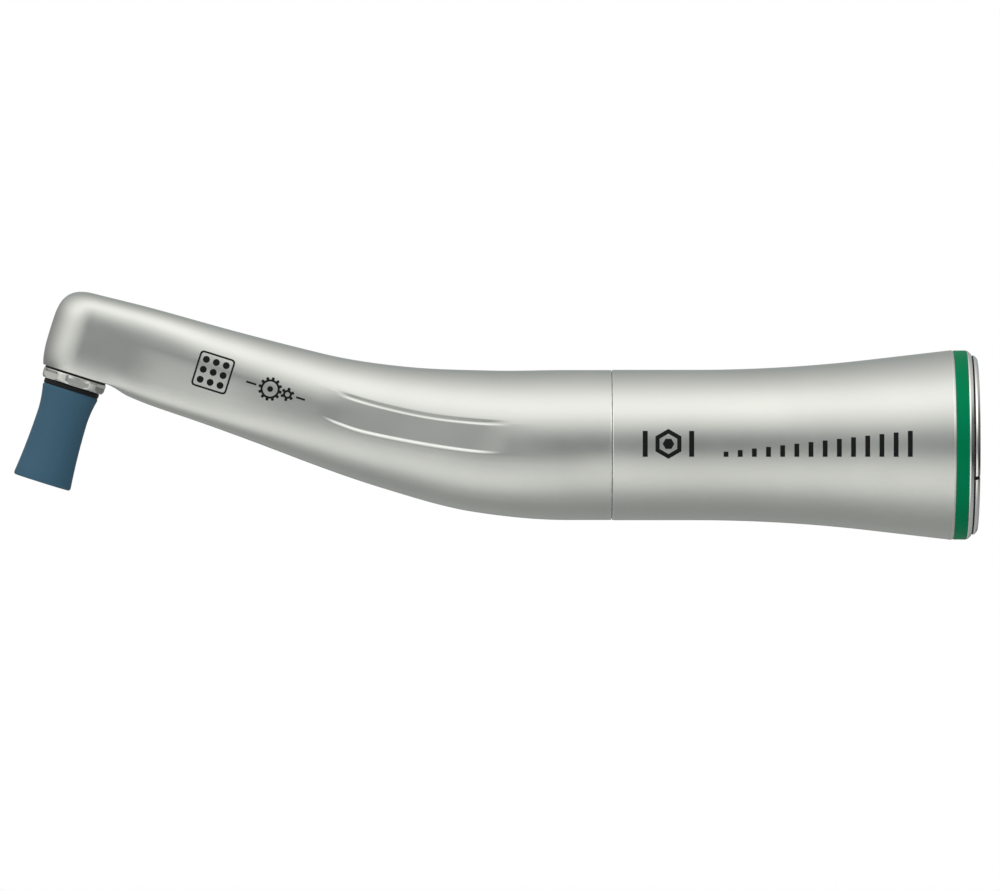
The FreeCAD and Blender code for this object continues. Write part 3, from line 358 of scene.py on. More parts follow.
def channel(travel, height):
    """How deep the surface is sunk at a height above the centre line, and how much wear and
    painted highlight it gets.
    """
    upper, lower = fade(travel, *TOP_EXTENT), fade(travel, *FLOOR_EXTENT)
    top, floor = channel_top(travel), channel_floor(travel)
    from_top, from_floor = top - height, height - floor
    groove = GROOVE_DEPTH * upper * (smooth_step(from_top / GROOVE_OUTER + 1)
                                     * smooth_step(1 - from_top / GROOVE_INNER))
    step = STEP_DEPTH * lower * smooth_step(np.clip(from_floor / STEP_WIDTH, 0, 1) ** STEP_POWER)
    share = np.clip(from_top / (top - floor), 0, 1)
    flat = surface_side(travel, height) - ((1 - share) * surface_side(travel, top)
                                           + share * surface_side(travel, floor))
    inside = smooth_step(from_top / STRIP_EDGE) * smooth_step(from_floor / STRIP_EDGE)
    sunk = groove + inside * (flat * fade(travel, *FLAT_EXTENT) + step * share)
    wear_and_highlight = STEP_HIGHLIGHT * lower * np.exp(-((from_floor - STEP_HIGHLIGHT_HEIGHT) / STEP_HIGHLIGHT_WIDTH) ** 2)
    return sunk, wear_and_highlight


# Sections. CORNER is the angle below level, in degrees, at which the head's wall meets its flat
# underside. CUT_START is how far before the path's end the neck's sections begin to turn into the
# head's.

CORNER = 50.0
CORNER_STEP = 1.6
LINE_HALF = 0.7
CUT_START, CUT_RAMP = 6.0, 3.6
COLUMNS = (22, 28, 8, 26, 10, 3, 26)


def section(travel):
    """Half of a section, from its top to its bottom: offsets sideways and upwards, and the wear
    and painted highlight.
    COLUMNS says how many points lie between its stops, most of them near the channel's lines."""
    above, below = float(height_above(travel)), float(height_below(travel))
    wide = float(half_width(travel))
    power_above, power_below = float(square_above(travel)), float(square_below(travel))

    def angle_of(height):
        limit, power = (above, power_above) if height > 0 else (below, power_below)
        return math.copysign(math.asin(min(1, abs(height) / limit) ** (power / 2)), height)

    top, floor = float(channel_top(travel)), float(channel_floor(travel))
    stops = [math.pi / 2, angle_of(top + LINE_HALF), angle_of(top - LINE_HALF),
             angle_of(floor + LINE_HALF), angle_of(floor - LINE_HALF),
             -math.radians(CORNER - CORNER_STEP), -math.radians(CORNER + CORNER_STEP), -math.pi / 2]
    angles = [np.linspace(a, b, count, endpoint=False)
              for a, b, count in zip(stops, stops[1:], COLUMNS)]
    angles = np.concatenate([*angles, [-math.pi / 2]])
    sine, cosine = np.sin(angles), np.clip(np.cos(angles), 0, 1)
    power = np.where(sine > 0, power_above, power_below)
    up = np.where(sine > 0, above, below) * np.sign(sine) * np.abs(sine) ** (2 / power)
    side = wide * cosine ** (2 / power)
    sunk, wear_and_highlight = channel(travel, up)
    side = np.maximum(side - lean(travel, up) - sunk * (side > wide / 2), 0)

    blend = float(smooth_step((travel - (PATH_LENGTH - CUT_START)) / CUT_RAMP))
    if blend > 0:
        cut_side, cut_up = cut_section(angles, wide, above, power_above)
        side, up = (1 - blend) * side + blend * cut_side, (1 - blend) * up + blend * cut_up
    side[0] = side[-1] = 0.0
    return side, up, wear_and_highlight


def cut_section(angles, wide, above, power):
    """The head's section: the same top and sides, cut off flat where the head ring sits."""
    corner = math.radians(CORNER)
    width_there = SEAM_RADIUS + (wide - HEAD_RADIUS)
    reach = SEAM_DROP / (1 - (width_there / wide) ** power) ** (1 / power)
    last = math.asin((SEAM_DROP / reach) ** (power / 2))
    wall = np.clip(angles, -corner, math.pi / 2)
    turned = np.where(wall < 0, wall * last / corner, wall)
    sine = np.sin(turned)
    up = np.where(sine > 0, above, reach) * np.sign(sine) * np.abs(sine) ** (2 / power)
    side = wide * np.clip(np.cos(turned), 0, 1) ** (2 / power)
    below = np.clip((-angles - corner) / (math.pi / 2 - corner), 0, 1)
    return side * (1 - below), up


RIM_ROUND = 0.14
SWING_STEPS = 56
HEAD_TILT = 0.045


def front_form():
    """The closed outer form: sections swept along the centre line and swung round the head, whose
    top drops a little towards its front."""
    # closest at the seam's rounded edge, then close along the bend and its channels
    travels = np.concatenate([[0.0, 0.03, 0.08, RIM_ROUND], np.linspace(0.4, ARC_START, 10),
                              np.linspace(ARC_START + 0.3, ARC_START + 30, 120),
                              np.linspace(ARC_START + 30.5, PATH_LENGTH, 60)])
    sections = []
    for travel in travels:
        side, up, wear_and_highlight = section(travel)
        into = max(0.0, RIM_ROUND - travel)
        shrink = 1 - (RIM_ROUND - math.sqrt(RIM_ROUND ** 2 - into ** 2)) / float(height_above(0))
        # Rows on the seam's rounded edge get full wear: also a painted highlight along the rim.
        sections.append((side * shrink, up * shrink, np.maximum(wear_and_highlight, float(into > 0))))
    centres, ups = path_point(travels)
    rows, worn_and_highlit = [], []
    for i, (side, up, wear_and_highlight) in enumerate(sections):
        rows.append(centres[i] + side[:, None] * Y_WAY + up[:, None] * ups[i])
        worn_and_highlit.append(wear_and_highlight)
    side, up, wear_and_highlight = sections[-1]
    for k in range(1, SWING_STEPS):
        turn = math.pi * k / SWING_STEPS
        way = math.cos(turn) * Y_WAY + math.sin(turn) * NECK.way
        tilt = -HEAD_TILT * side * math.sin(turn) * np.clip(up / HEAD_TOP, 0, 1) ** 2
        rows.append(centres[-1] + side[:, None] * way + (up + tilt)[:, None] * ups[-1])
        worn_and_highlit.append(wear_and_highlight)
    for i in reversed(range(len(travels))):
        rows.append(centres[i] - sections[i][0][:, None] * Y_WAY + sections[i][1][:, None] * ups[i])
        worn_and_highlit.append(sections[i][2])
    count = len(side)
    faces = grid_faces(len(rows), count)
    last = [(len(rows) - 1) * count + j for j in range(count)]
    faces.append(tuple(list(range(count)) + last[::-1][1:-1]))
    return make_mesh("front_shell", np.concatenate(rows), faces, np.concatenate(worn_and_highlit))


ROD = {"radius": 0.5, "gap": 0.05, "low": 6.35, "neck_low": 3.95, "bend": 25.0,
       "exit_start": 29.0, "exit_bend": 8.0, "exit_angle": 25.0, "rear": 6.0, "bore_rear": 36.0,
       "overrun": 3.0}


def arc_points(corner, way_in, way_out, radius, steps=24):
    """Points of an arc that rounds the corner between two directions."""
    angle = math.acos(float(way_in @ way_out))
    reach = radius * math.tan(angle / 2)
    start = corner - way_in * reach
    towards = way_out - way_in * (way_in @ way_out)
    towards /= np.linalg.norm(towards)
    turns = np.linspace(0, angle, steps)[:, None]
    return start + radius * (np.sin(turns) * way_in + (1 - np.cos(turns)) * towards)


def rod_path(rear):
    """The light rod's centre line, from a depth under the handle, round the bend and out below
    the neck by its overrun."""
    neck_up = -HEAD.way
    reach = (ROD["neck_low"] * neck_up[2] - ROD["low"]) / NECK.way[2]
    bend = NECK.point + NECK.way * reach - neck_up * ROD["neck_low"]
    angle = math.radians(ROD["exit_angle"])
    out = NECK.way * math.cos(angle) - neck_up * math.sin(angle)
    leave = (NECK.point + NECK.way * (ROD["exit_start"] + ROD["exit_bend"] * math.tan(angle / 2))
             - neck_up * ROD["neck_low"])
    first = arc_points(bend, HANDLE.way, NECK.way, ROD["bend"])
    second = arc_points(leave, NECK.way, out, ROD["exit_bend"])
    begin = HANDLE.way * rear - np.array([0, 0, ROD["low"]])
    return np.concatenate([[begin], first, second, [second[-1] + out * ROD["overrun"]]])


CAVITY = (
    ("cut_holder", HANDLE, 42, 51, 5.3), ("cut_bend_rear", HANDLE, 50.5, 57, 3.3),
    ("cut_bend_front", NECK, -3, 4.2, 3.3), ("cut_neck", NECK, 4, 35.2, 3.1),
    ("cut_upper_bearing", HEAD, -3.45, 0, 2.5), ("cut_head", HEAD, -2, 6, 3.0),
    ("cut_ring_seat", HEAD, SEAM_DROP - 0.02, 6, 3.39),
)


def front_pieces():
    """The front body's shell, bored out by CAVITY's bars (axis, start, end, radius), and the light
    rod that ends flush with it."""
    shell = front_form()
    limit = shell.copy()
    limit.data = shell.data.copy()
    bpy.context.scene.collection.objects.link(limit)
    combine(limit, [bar_cutter("limit_rear", HANDLE, 1, 40, 7.4)], "UNION")
    light = hose("light_guide", rod_path(ROD["rear"]), ROD["radius"])
    combine(light, [limit], "INTERSECT")
    cavity = bar_cutter("cut_spigot", HANDLE, SEAM_DEPTH - 1, 43.2, 6.25)
    rod_bore = hose("cut_rod", rod_path(ROD["bore_rear"]), ROD["radius"] + ROD["gap"])
    combine(cavity, [*(bar_cutter(*bore) for bore in CAVITY), rod_bore], "UNION")
    return combine(shell, [cavity], "DIFFERENCE"), light


# Turned pieces at the rear, from outlines of (depth, radius[, corner radius])

SLEEVE = {"bore": 7.02, "land": 8.5, "land_depth": 9.5, "radius": 7.82, "rim": 9.86, "end": 2.5,
          "flare_start": 29.5, "flare_end": 11.5, "flare_arc": 158.7}
RIM_FACET = 0.24
RING_STEPS = 320


def sleeve_flare():
    """The sleeve's outer line where it is an arc. It is level before it and a cone after it."""
    depths = np.linspace(SLEEVE["flare_start"], SLEEVE["flare_end"], 24)
    reach, arc = SLEEVE["flare_start"] - depths, SLEEVE["flare_arc"]
    return list(zip(depths, SLEEVE["radius"] + arc - np.sqrt(arc ** 2 - reach ** 2)))


def rear_sleeve():
    return lathe("rear_sleeve_shell", [
        (SLEEVE["end"], SLEEVE["land"], 0.05), (SLEEVE["land_depth"], SLEEVE["land"]),
        (SLEEVE["land_depth"], SLEEVE["bore"]), (SEAM_DEPTH - SEAM_GAP, SLEEVE["bore"], 0.1),
        (SEAM_DEPTH - SEAM_GAP, SLEEVE["radius"], RIM_ROUND), *sleeve_flare(),
        # This rounded corner gets wear and a painted highlight: a bright line next to the green
        # ring.
        (SLEEVE["end"] + RIM_FACET, SLEEVE["rim"], 0.2),
        (SLEEVE["end"], SLEEVE["rim"] - 0.075, 0.03),
    ], HANDLE, RING_STEPS)


def ratio_ring():
    return lathe("ratio_ring_band", [
        (1.17, 9.0), (2.48, 9.0), (2.48, 9.83, 0.05), (1.17, 9.84, 0.05),
    ], HANDLE, RING_STEPS)


def bezel_ring():
    return lathe("bezel_ring_band", [
        (0.66, 8.64, 0.04), (2.46, 8.64), (2.46, 8.98), (1.15, 8.98),
        (1.15, 9.82, 0.06), (0.98, 9.78, 0.08), (0.66, 9.46, 0.06),
    ], HANDLE, RING_STEPS)


SLOT_ANGLE = math.radians(21.6)
SLOT_HALF = 0.2


def slot_block(name, depths, reaches, half):
    """A block across the end nut, at the angle of its two slots, between two depths and two
    reaches from the axis."""
    way = -math.cos(SLOT_ANGLE) * Y_WAY - math.sin(SLOT_ANGLE) * HANDLE.up
    across = np.cross(HANDLE.way, way)
    corners = [HANDLE.way * depth + way * reach + across * side
               for depth in depths for reach in reaches for side in (-half, half)]
    faces = [(0, 1, 3, 2), (4, 5, 7, 6), (0, 1, 5, 4), (2, 3, 7, 6), (0, 2, 6, 4), (1, 3, 7, 5)]
    return make_mesh(name, corners, faces)


def end_nut():
    nut = lathe("end_nut_band", [
        (0, 8.27, 0.12), (2.3, 8.27, 0.05), (2.3, 8.62, 0.05), (0.48, 8.62), (0.48, 9.35, 0.05),
        (0.26, 9.27, 0.1), (0, 8.95, 0.1),
    ], HANDLE, RING_STEPS)
    return combine(nut, [slot_block("cut_slot", (-0.5, 1.3), (-12, 12), SLOT_HALF)], "DIFFERENCE")


def nut_groove_shade():
    """A black ring in the groove behind the end nut, which paints the groove's shade as a dark
    line, and black blocks in the ends of its slots, which paint their shade.
    """
    groove_shade_ring = lathe("nut_groove_shade", [
        (0.47, 8.63), (0.67, 8.63), (0.67, 9.3, 0.04), (0.47, 9.3, 0.04),
    ], HANDLE, 256)
    slot_shades = [slot_block(f"slot_shade_fill_{k}", (0.1, 0.55), reaches, SLOT_HALF + 0.02)
             for k, reaches in enumerate(((8.4, 9.16), (-9.16, -8.4)))]
    return combine(groove_shade_ring, slot_shades, "UNION")


# Head ring, seal and cup, from outlines of (drop, radius[, corner radius])

FLATS = {"count": 6, "radius": 3.08, "turn": math.radians(10), "start": 4.74, "bore": 2.9}


def head_ring():
    def shape(along, radius, angle):
        """Cuts the flats into the lower part of the ring's outside."""
        half_turn = math.pi / FLATS["count"]
        sector = np.mod(angle - FLATS["turn"] + half_turn, 2 * half_turn) - half_turn
        outside = (along > FLATS["start"]) & (radius > FLATS["bore"])
        return np.where(outside, np.minimum(radius, FLATS["radius"] / np.cos(sector)), radius)

    return lathe("head_ring_nut", [
        (3.2, 2.62), (4.7, 2.62), (4.7, 1.75), (5.44, 1.75), (5.44, 3.16, 0.14), (5.2, 3.32, 0.12),
        (4.8, 3.34), (4.76, 3.35), (4.41, 3.35, 0.09), (4.41, 2.98), (3.2, 2.98),
    ], HEAD, 240, shape)


def head_seam_shade():
    """A black ring in the seam between the head and its ring: painted shade, so the seam reads
    as a dark line.
    """
    return lathe("head_seam_shade", [
        (4.12, 3.0), (4.43, 3.0), (4.43, 3.27, 0.04), (4.12, 3.27, 0.04),
    ], HEAD, 192)


def spindle_seal():
    return lathe("spindle_seal_band", [
        (5.46, 1.52), (5.95, 1.52), (5.95, 2.96, 0.08), (5.46, 2.96, 0.1),
    ], HEAD, 160)


CUP = {"top": 5.96, "end": 15.99, "mouth_depth": 5.2, "ribs": 6, "rib_half": 0.13}


def cup_line(start, end, start_radius, end_radius, arc):
    """Points of a shallow arc that is hollow on the outside."""
    drops = np.linspace(start, end, 9)
    share = (drops - start) / (end - start)
    straight = start_radius + (end_radius - start_radius) * share
    sag = ((end - start) ** 2) / (2 * arc) * share * (1 - share)
    return list(zip(drops, straight - sag))


def polishing_cup():
    top, end, floor_drop = CUP["top"], CUP["end"], CUP["end"] - CUP["mouth_depth"]
    upper = cup_line(6.2, 8.7, 2.97, 2.65, 12.0)
    lower = cup_line(8.7, 15.7, 2.65, 3.07, 70.0)
    cup = lathe("polishing_cup_rubber", [
        (top, 0.97), (6.45, 0.97), (6.45, 1.86), (8.45, 1.86), (8.45, 0),
        (floor_drop, 0), (floor_drop, 1.75, 0.3), (end, 2.38, 0.16),
        (end, 3.04, 0.22), *reversed(lower), *reversed(upper[:-1]), (top, 2.9, 0.1),
    ], HEAD, 192)
    ribs = [rib(f"cup_rib_{k}", 2 * math.pi * (k + 0.5) / CUP["ribs"],
                (floor_drop - 0.1, 0.9, 2.1), (end - 0.75, 1.25, 2.5)) for k in range(CUP["ribs"])]
    return combine(cup, ribs, "UNION")


def rib(name, turn, *ends):
    """A thin web down the wall of the cup's mouth. Each end is (drop, inner, outer)."""
    half = CUP["rib_half"]
    points = []
    for drop, inner, outer in ends:
        for reach, side in ((inner, -half), (inner, half), (outer, half), (outer, -half)):
            spot = HEAD.at(drop, reach, turn) + (HEAD.at(0, side, turn + math.pi / 2) - HEAD.point)
            points.append(spot)
    faces = [(0, 1, 2, 3), (4, 5, 6, 7), (0, 1, 5, 4), (1, 2, 6, 5), (2, 3, 7, 6), (3, 0, 4, 7)]
    return make_mesh(name, points, faces)


def dog_spring():
    """The coil spring behind the drive dog, built at its full length, though it gets shorter as
    the dog slides in. Also where its fixed end is, and the share of its length that it keeps."""
    low, high = (np.array(corner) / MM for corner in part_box("dog_spring"))
    wire, turns, steps = 0.13, 4, 40
    radius = (high[2] - low[2]) / 2 - wire
    share = np.linspace(0, 1, turns * steps + 1)
    turned = 2 * math.pi * turns * share
    sides = np.stack([0 * share, np.cos(turned), np.sin(turned)], axis=1)
    path = radius * sides
    path[:, 0] = high[0] - wire + (low[0] - high[0] + 2 * wire) * share
    coil = hose("dog_spring_coil", path, wire, 16, sides)
    travel = JOINTS["drive_dog_slide"]["range_m"][1] / MM
    return coil, low[0] * MM, 1 - travel / (high[0] - low[0])


# Materials

class Tree:
    """A short way to build a node tree."""

    def __init__(self, tree):
        self.tree = tree

    def add(self, kind, inputs=None, **settings):
        node = self.tree.nodes.new(kind)
        for key, value in settings.items():
            setattr(node, key, value)
        for key, value in (inputs or {}).items():
            self.put(node.inputs[key], value)
        return node

    def put(self, socket, value):
        if isinstance(value, bpy.types.NodeSocket):
            self.tree.links.new(value, socket)
        else:
            socket.default_value = value


class Nodes(Tree):
    """A material's node tree, with the patterns that the materials share."""

    def __init__(self, name):
        self.material = bpy.data.materials.new(name)
        self.material.use_nodes = True
        super().__init__(self.material.node_tree)
        self.shader = self.tree.nodes["Principled BSDF"]
        self.place = self.tree.nodes.new("ShaderNodeTexCoord").outputs["Object"]

    def noise(self, scale, detail=3.0, roughness=0.5, stretch=None):
        """Noise by place in metres. stretch scales the place first, to draw the noise out."""
        place = self.place
        if stretch is not None:
            mapping = self.add("ShaderNodeMapping", {"Vector": place, "Scale": stretch})
            place = mapping.outputs["Vector"]
        return self.add("ShaderNodeTexNoise", {"Vector": place, "Scale": scale, "Detail": detail,
                                               "Roughness": roughness}).outputs["Fac"]

    def between(self, value, low, high, start=0.0, end=1.0):
        """low to high as value goes from start to end, and no further."""
        return self.add("ShaderNodeMapRange", {"Value": value, "From Min": start, "From Max": end,
                                               "To Min": low, "To Max": high}).outputs["Result"]

    def mix(self, share, first, second):
        node = self.add("ShaderNodeMix", data_type="RGBA")
        for socket, value in zip((node.inputs[0], node.inputs[6], node.inputs[7]),
                                 (share, first, second)):
            self.put(socket, value)
        return node.outputs[2]

    def bump(self, height, strength, depth):
        """A bump from a height of 0 to 1, with its depth in millimetres."""
        return self.add("ShaderNodeBump", {"Height": height, "Strength": strength,
                                           "Distance": depth * MM}).outputs["Normal"]

    def rubbed_and_highlit(self, amount=0.8):
        """Where rounded corners are made bright, in patches: wear, and a painted edge highlight."""
        worn_and_highlit = self.add("ShaderNodeAttribute", attribute_name="wear_and_highlight").outputs["Fac"]
        patches = self.between(self.noise(700, 3, 0.6), 0.35, 1.0, 0.35, 0.6)
        both = self.add("ShaderNodeMath", {0: worn_and_highlit, 1: patches}, operation="MULTIPLY").outputs[0]
        return self.between(both, 0.0, amount)

    def pointed(self, start=0.53, end=0.6):
        """Where an edge of a frame part stands out."""
        edge = self.add("ShaderNodeNewGeometry").outputs["Pointiness"]
        return self.between(edge, 0.0, 1.0, start, end)

    def finish(self, **values):
        """Sets the shader's inputs by name, and gives the material."""
        for key, value in values.items():
            self.put(self.shader.inputs[key.replace("_", " ")], value)
        return self.material


def colour(red, green, blue):
    return (red, green, blue, 1.0)


def titanium():
    """Fine blasting, with faint clouds, and corners made bright by wear and a painted highlight."""
    m = Nodes("satin_titanium")
    blast = m.noise(5200, 4, 0.65)
    cloud = m.noise(90, 3, 0.55)
    base = m.mix(m.between(cloud, 0, 1, 0.3, 0.7),
                 colour(0.585, 0.595, 0.575), colour(0.63, 0.64, 0.615))
    base = m.mix(m.between(blast, 0.0, 0.12), base, colour(0.40, 0.41, 0.395))
    # Lighter on rounded corners: wear, and a painted highlight along the edges.
    base = m.mix(m.rubbed_and_highlit(), base, colour(0.86, 0.86, 0.84))
    rough = m.mix(m.rubbed_and_highlit(0.6), m.between(m.noise(420, 3), 0.27, 0.34), colour(0.16, 0.16, 0.16))
    return m.finish(Base_Color=base, Metallic=1.0, Roughness=rough,
                    Normal=m.bump(blast, 0.12, 0.02))


def polished_steel():
    """Bright steel with the faint streaks of its polishing."""
    m = Nodes("polished_steel")
    streak = m.noise(1800, 2, 0.5, (1.0, 0.06, 0.06))
    base = m.mix(streak, colour(0.74, 0.75, 0.74), colour(0.84, 0.845, 0.83))
    # Lighter on rounded corners: wear, and a painted highlight along the edges.
    base = m.mix(m.rubbed_and_highlit(), base, colour(0.95, 0.95, 0.94))
    return m.finish(Base_Color=base, Metallic=1.0, Roughness=m.between(streak, 0.07, 0.15),
                    Normal=m.bump(streak, 0.04, 0.01))


def turned_steel(name="turned_steel", tint=(0.58, 0.58, 0.58), rough=0.28):
    """Fine tool lines round the handle's axis, with brighter edges. Also for the other metals."""
    def shade(share):
        return colour(*(min(1, c * share) for c in tint))

    m = Nodes(name)
    lines = m.noise(7000, 2, 0.6, (1.0, 0.02, 0.02))
    cloud = m.noise(200, 3)
    base = m.mix(cloud, shade(0.9), shade(1.1))
    base = m.mix(m.pointed(), base, shade(1.35))
    return m.finish(Base_Color=base, Metallic=1.0,
                    Roughness=m.between(lines, rough - 0.06, rough + 0.1),
                    Normal=m.bump(lines, 0.12, 0.01))


def ring_steel():
    """The head ring's steel, with tool lines round the cup's axis."""
    m = Nodes("head_ring_steel")
    lines = m.noise(5200, 2, 0.6, (0.03, 0.03, 1.0))
    base = m.mix(m.noise(260, 3), colour(0.60, 0.605, 0.585), colour(0.68, 0.685, 0.665))
    # Lighter on rounded corners: wear, and a painted highlight along the edges.
    base = m.mix(m.rubbed_and_highlit(), base, colour(0.92, 0.92, 0.90))
    return m.finish(Base_Color=base, Metallic=1.0, Roughness=m.between(lines, 0.14, 0.24),
                    Normal=m.bump(lines, 0.06, 0.01))


def green_band():
    """Matt green anodising, paler on its rounded corners by wear and a painted highlight."""
    m = Nodes("green_anodised")
    fine = m.noise(6000, 3, 0.6)
    base = m.mix(m.noise(300, 3), colour(0.0, 0.185, 0.074), colour(0.0, 0.215, 0.088))
    # Paler on rounded corners: wear, and a painted highlight along the edges.
    base = m.mix(m.rubbed_and_highlit(0.35), base, colour(0.12, 0.38, 0.25))
    return m.finish(Base_Color=base, Metallic=0.25, Roughness=m.between(fine, 0.4, 0.5),
                    Normal=m.bump(fine, 0.06, 0.01), Specular_IOR_Level=0.03)


def blue_rubber():
    """Moulded rubber with a fine grain and uneven colour."""
    m = Nodes("blue_rubber")
    grain = m.noise(2600, 4, 0.6)
    base = m.mix(m.noise(160, 3), colour(0.036, 0.101, 0.160), colour(0.044, 0.118, 0.184))
    # Paler on rounded corners: wear, and a painted highlight along the edges.
    base = m.mix(m.rubbed_and_highlit(0.35), base, colour(0.09, 0.17, 0.22))
    return m.finish(Base_Color=base, Roughness=m.between(grain, 0.5, 0.62),
                    Normal=m.bump(grain, 0.12, 0.02), Specular_IOR_Level=0.22)


def black_rubber():
    """Moulded rubber with a fine grain, for the seals, and for the black rings and blocks that
    paint shade in seams and slots.
    """
    m = Nodes("black_rubber")
    grain = m.noise(3000, 4, 0.6)
    base = m.mix(grain, colour(0.003, 0.003, 0.004), colour(0.009, 0.009, 0.009))
    return m.finish(Base_Color=base, Roughness=m.between(grain, 0.5, 0.65),
                    Normal=m.bump(grain, 0.1, 0.02), Specular_IOR_Level=0.2)


def light_glass():
    """A bundle of glass fibres."""
    m = Nodes("light_glass")
    fibres = m.add("ShaderNodeTexVoronoi", {"Vector": m.place, "Scale": 9000.0}).outputs["Distance"]
    base = m.mix(m.between(fibres, 0, 1, 0.0, 0.6),
                 colour(0.78, 0.82, 0.80), colour(0.48, 0.53, 0.51))
    return m.finish(Base_Color=base, Roughness=m.between(m.noise(2000), 0.08, 0.16),
                    Normal=m.bump(fibres, 0.1, 0.01))


def mark_ink():
    """The dark, slightly grainy ink of the marks."""
    m = Nodes("laser_mark")
    grain = m.noise(7000, 3, 0.6)
    base = m.mix(grain, colour(0.003, 0.0035, 0.0035), colour(0.010, 0.011, 0.011))
    return m.finish(Base_Color=base, Roughness=m.between(grain, 0.5, 0.65),
                    Normal=m.bump(grain, 0.1, 0.01), Specular_IOR_Level=0.12)


def coat(thing, material):
    """Gives every face of a piece one material."""
    slots = thing.data.materials
    if len(slots) == 0:
        slots.append(material)
    for i in range(len(slots)):
        slots[i] = material


# Marks: thin dark inlays that follow the surface

INLAY_LIFT = 0.012
INLAY_DEPTH = 0.05


def on_front(travel, height, lift):
    """Points over the front body's near side, by travel and height."""
    points, ups = path_point(travel)
    side = surface_side(travel, height) + lift
    return points + np.asarray(height)[..., None] * ups - side[..., None] * Y_WAY


def on_sleeve(depth, height, lift):
    """Points over the rear sleeve's near side, by depth and height."""
    profile = [(SLEEVE["end"] + RIM_FACET, SLEEVE["rim"]), *sleeve_flare()[::-1],
               (SEAM_DEPTH, SLEEVE["radius"])]
    radius = np.interp(depth, *zip(*profile)) + lift
    return HANDLE.at(depth, radius, math.pi - np.arcsin(np.asarray(height) / radius))


def inlay(shape, place):
    """A thin closed plate laid on a surface, from a grid of (along, height) points. A grid whose
    last column repeats its first goes all the way round."""
    closed = bool(np.allclose(shape[:, 0], shape[:, -1]))
    shape = shape[:, :-1] if closed else shape
    rows, columns = shape.shape[:2]
    outer, inner = (place(shape[..., 0], shape[..., 1], lift).reshape(-1, 3)
                    for lift in (INLAY_LIFT, -INLAY_DEPTH))
    count = rows * columns
    top = grid_faces(rows, columns, wrap_columns=closed)
    bottom = [tuple(i + count for i in face[::-1]) for face in top]
    first, last = list(range(columns)), [(rows - 1) * columns + j for j in range(columns)]
    if closed:
        loops = [first, last[::-1]]
    else:
        loops = [first + [i * columns + columns - 1 for i in range(1, rows - 1)] + last[::-1]
                 + [i * columns for i in reversed(range(1, rows - 1))]]
    walls = [(a, b, b + count, a + count)
             for loop in loops for a, b in zip(loop, loop[1:] + loop[:1])]
    return np.concatenate([outer, inner]), top + bottom + walls


def bar(start, end, low, high):
    """A filled oblong, in cells small enough to follow the surface."""
    cell_along, cell_up = 0.3, 0.2
    along = np.linspace(start, end, max(2, int(abs(end - start) / cell_along) + 2))
    height = np.linspace(low, high, max(2, int(abs(high - low) / cell_up) + 2))
    return np.stack(np.meshgrid(along, height, indexing="ij"), -1)


def band(centre, outer, inner, corners=40):
    """A closed band round a centre. outer and inner give its edges' radii by angle."""
    angles = np.linspace(0, 2 * math.pi, corners + 1)
    rows = [np.stack([centre[0] + r * np.cos(angles), centre[1] + r * np.sin(angles)], -1)
            for r in (inner(angles), outer(angles))]
    return np.stack(rows, 0)


def circle(radius):
    """The edge of a circle, by angle."""
    return lambda angles: np.full_like(angles, radius)


def polygon(radius, sides, turn=0.0):
    """The edge of a regular polygon, by angle."""
    step = 2 * math.pi / sides
    return lambda angles: (radius * math.cos(step / 2)
                           / np.cos(np.mod(angles - turn, step) - step / 2))


def gear_edge(root, tip, teeth, turn=0.0):
    """The edge of a toothed wheel, by angle."""
    return lambda angles: root + (tip - root) * smooth_step(
        0.5 + 2.2 * np.cos(teeth * (angles - turn)))


def rounded_square(half, corner):
    """The edge of a square with rounded corners, by angle."""
    def edge(angles):
        across, high = np.abs(np.cos(angles)), np.abs(np.sin(angles))
        flat = half / np.maximum(across, high)
        inner = half - corner
        middle = inner * (across + high)
        arc = middle + np.sqrt(np.maximum(middle ** 2 - 2 * inner ** 2 + corner ** 2, 0))
        in_corner = np.minimum(flat * across, flat * high) > inner
        return np.where(in_corner, arc, flat)
    return edge


def marks(name, shapes, place):
    """One piece from several grids, laid on a surface."""
    points, faces = [], []
    for shape in shapes:
        made, more = inlay(shape, place)
        faces += [tuple(i + len(points) for i in face) for face in more]
        points += list(made)
    return make_mesh(name, points, faces)


def neck_marks():
    """A square of nine dots, and a large and a small toothed wheel on their shafts."""
    badge, half, line, dot, pitch = (ARC_START + 37.75, 0.28), 1.9, 0.19, 0.36, 1.08
    outer_corner, inner_corner = 0.4, 0.25
    shapes = [band(badge, rounded_square(half, outer_corner),
                   rounded_square(half - line, inner_corner), 96)]
    for across in (-pitch, 0, pitch):
        for high in (-pitch, 0, pitch):
            shapes.append(band((badge[0] + across, badge[1] + high), circle(dot), circle(0), 24))
    height, shaft_half = 0.42, 0.1
    large, small = (ARC_START + 31.6, height), (ARC_START + 29.72, height)
    shapes.append(band(large, gear_edge(1.0, 1.24, 12), circle(0.78), 240))
    shapes.append(band(large, circle(0.3), circle(0), 24))
    shapes.append(band(small, gear_edge(0.46, 0.7, 6, math.pi / 6), circle(0.24), 144))
    for start, end in ((large[0] + 1.5, large[0] + 2.6), (small[0] - 1.9, small[0] - 0.95)):
        shapes.append(bar(start, end, height - shaft_half, height + shaft_half))
    return marks("neck_marks", shapes, on_front)


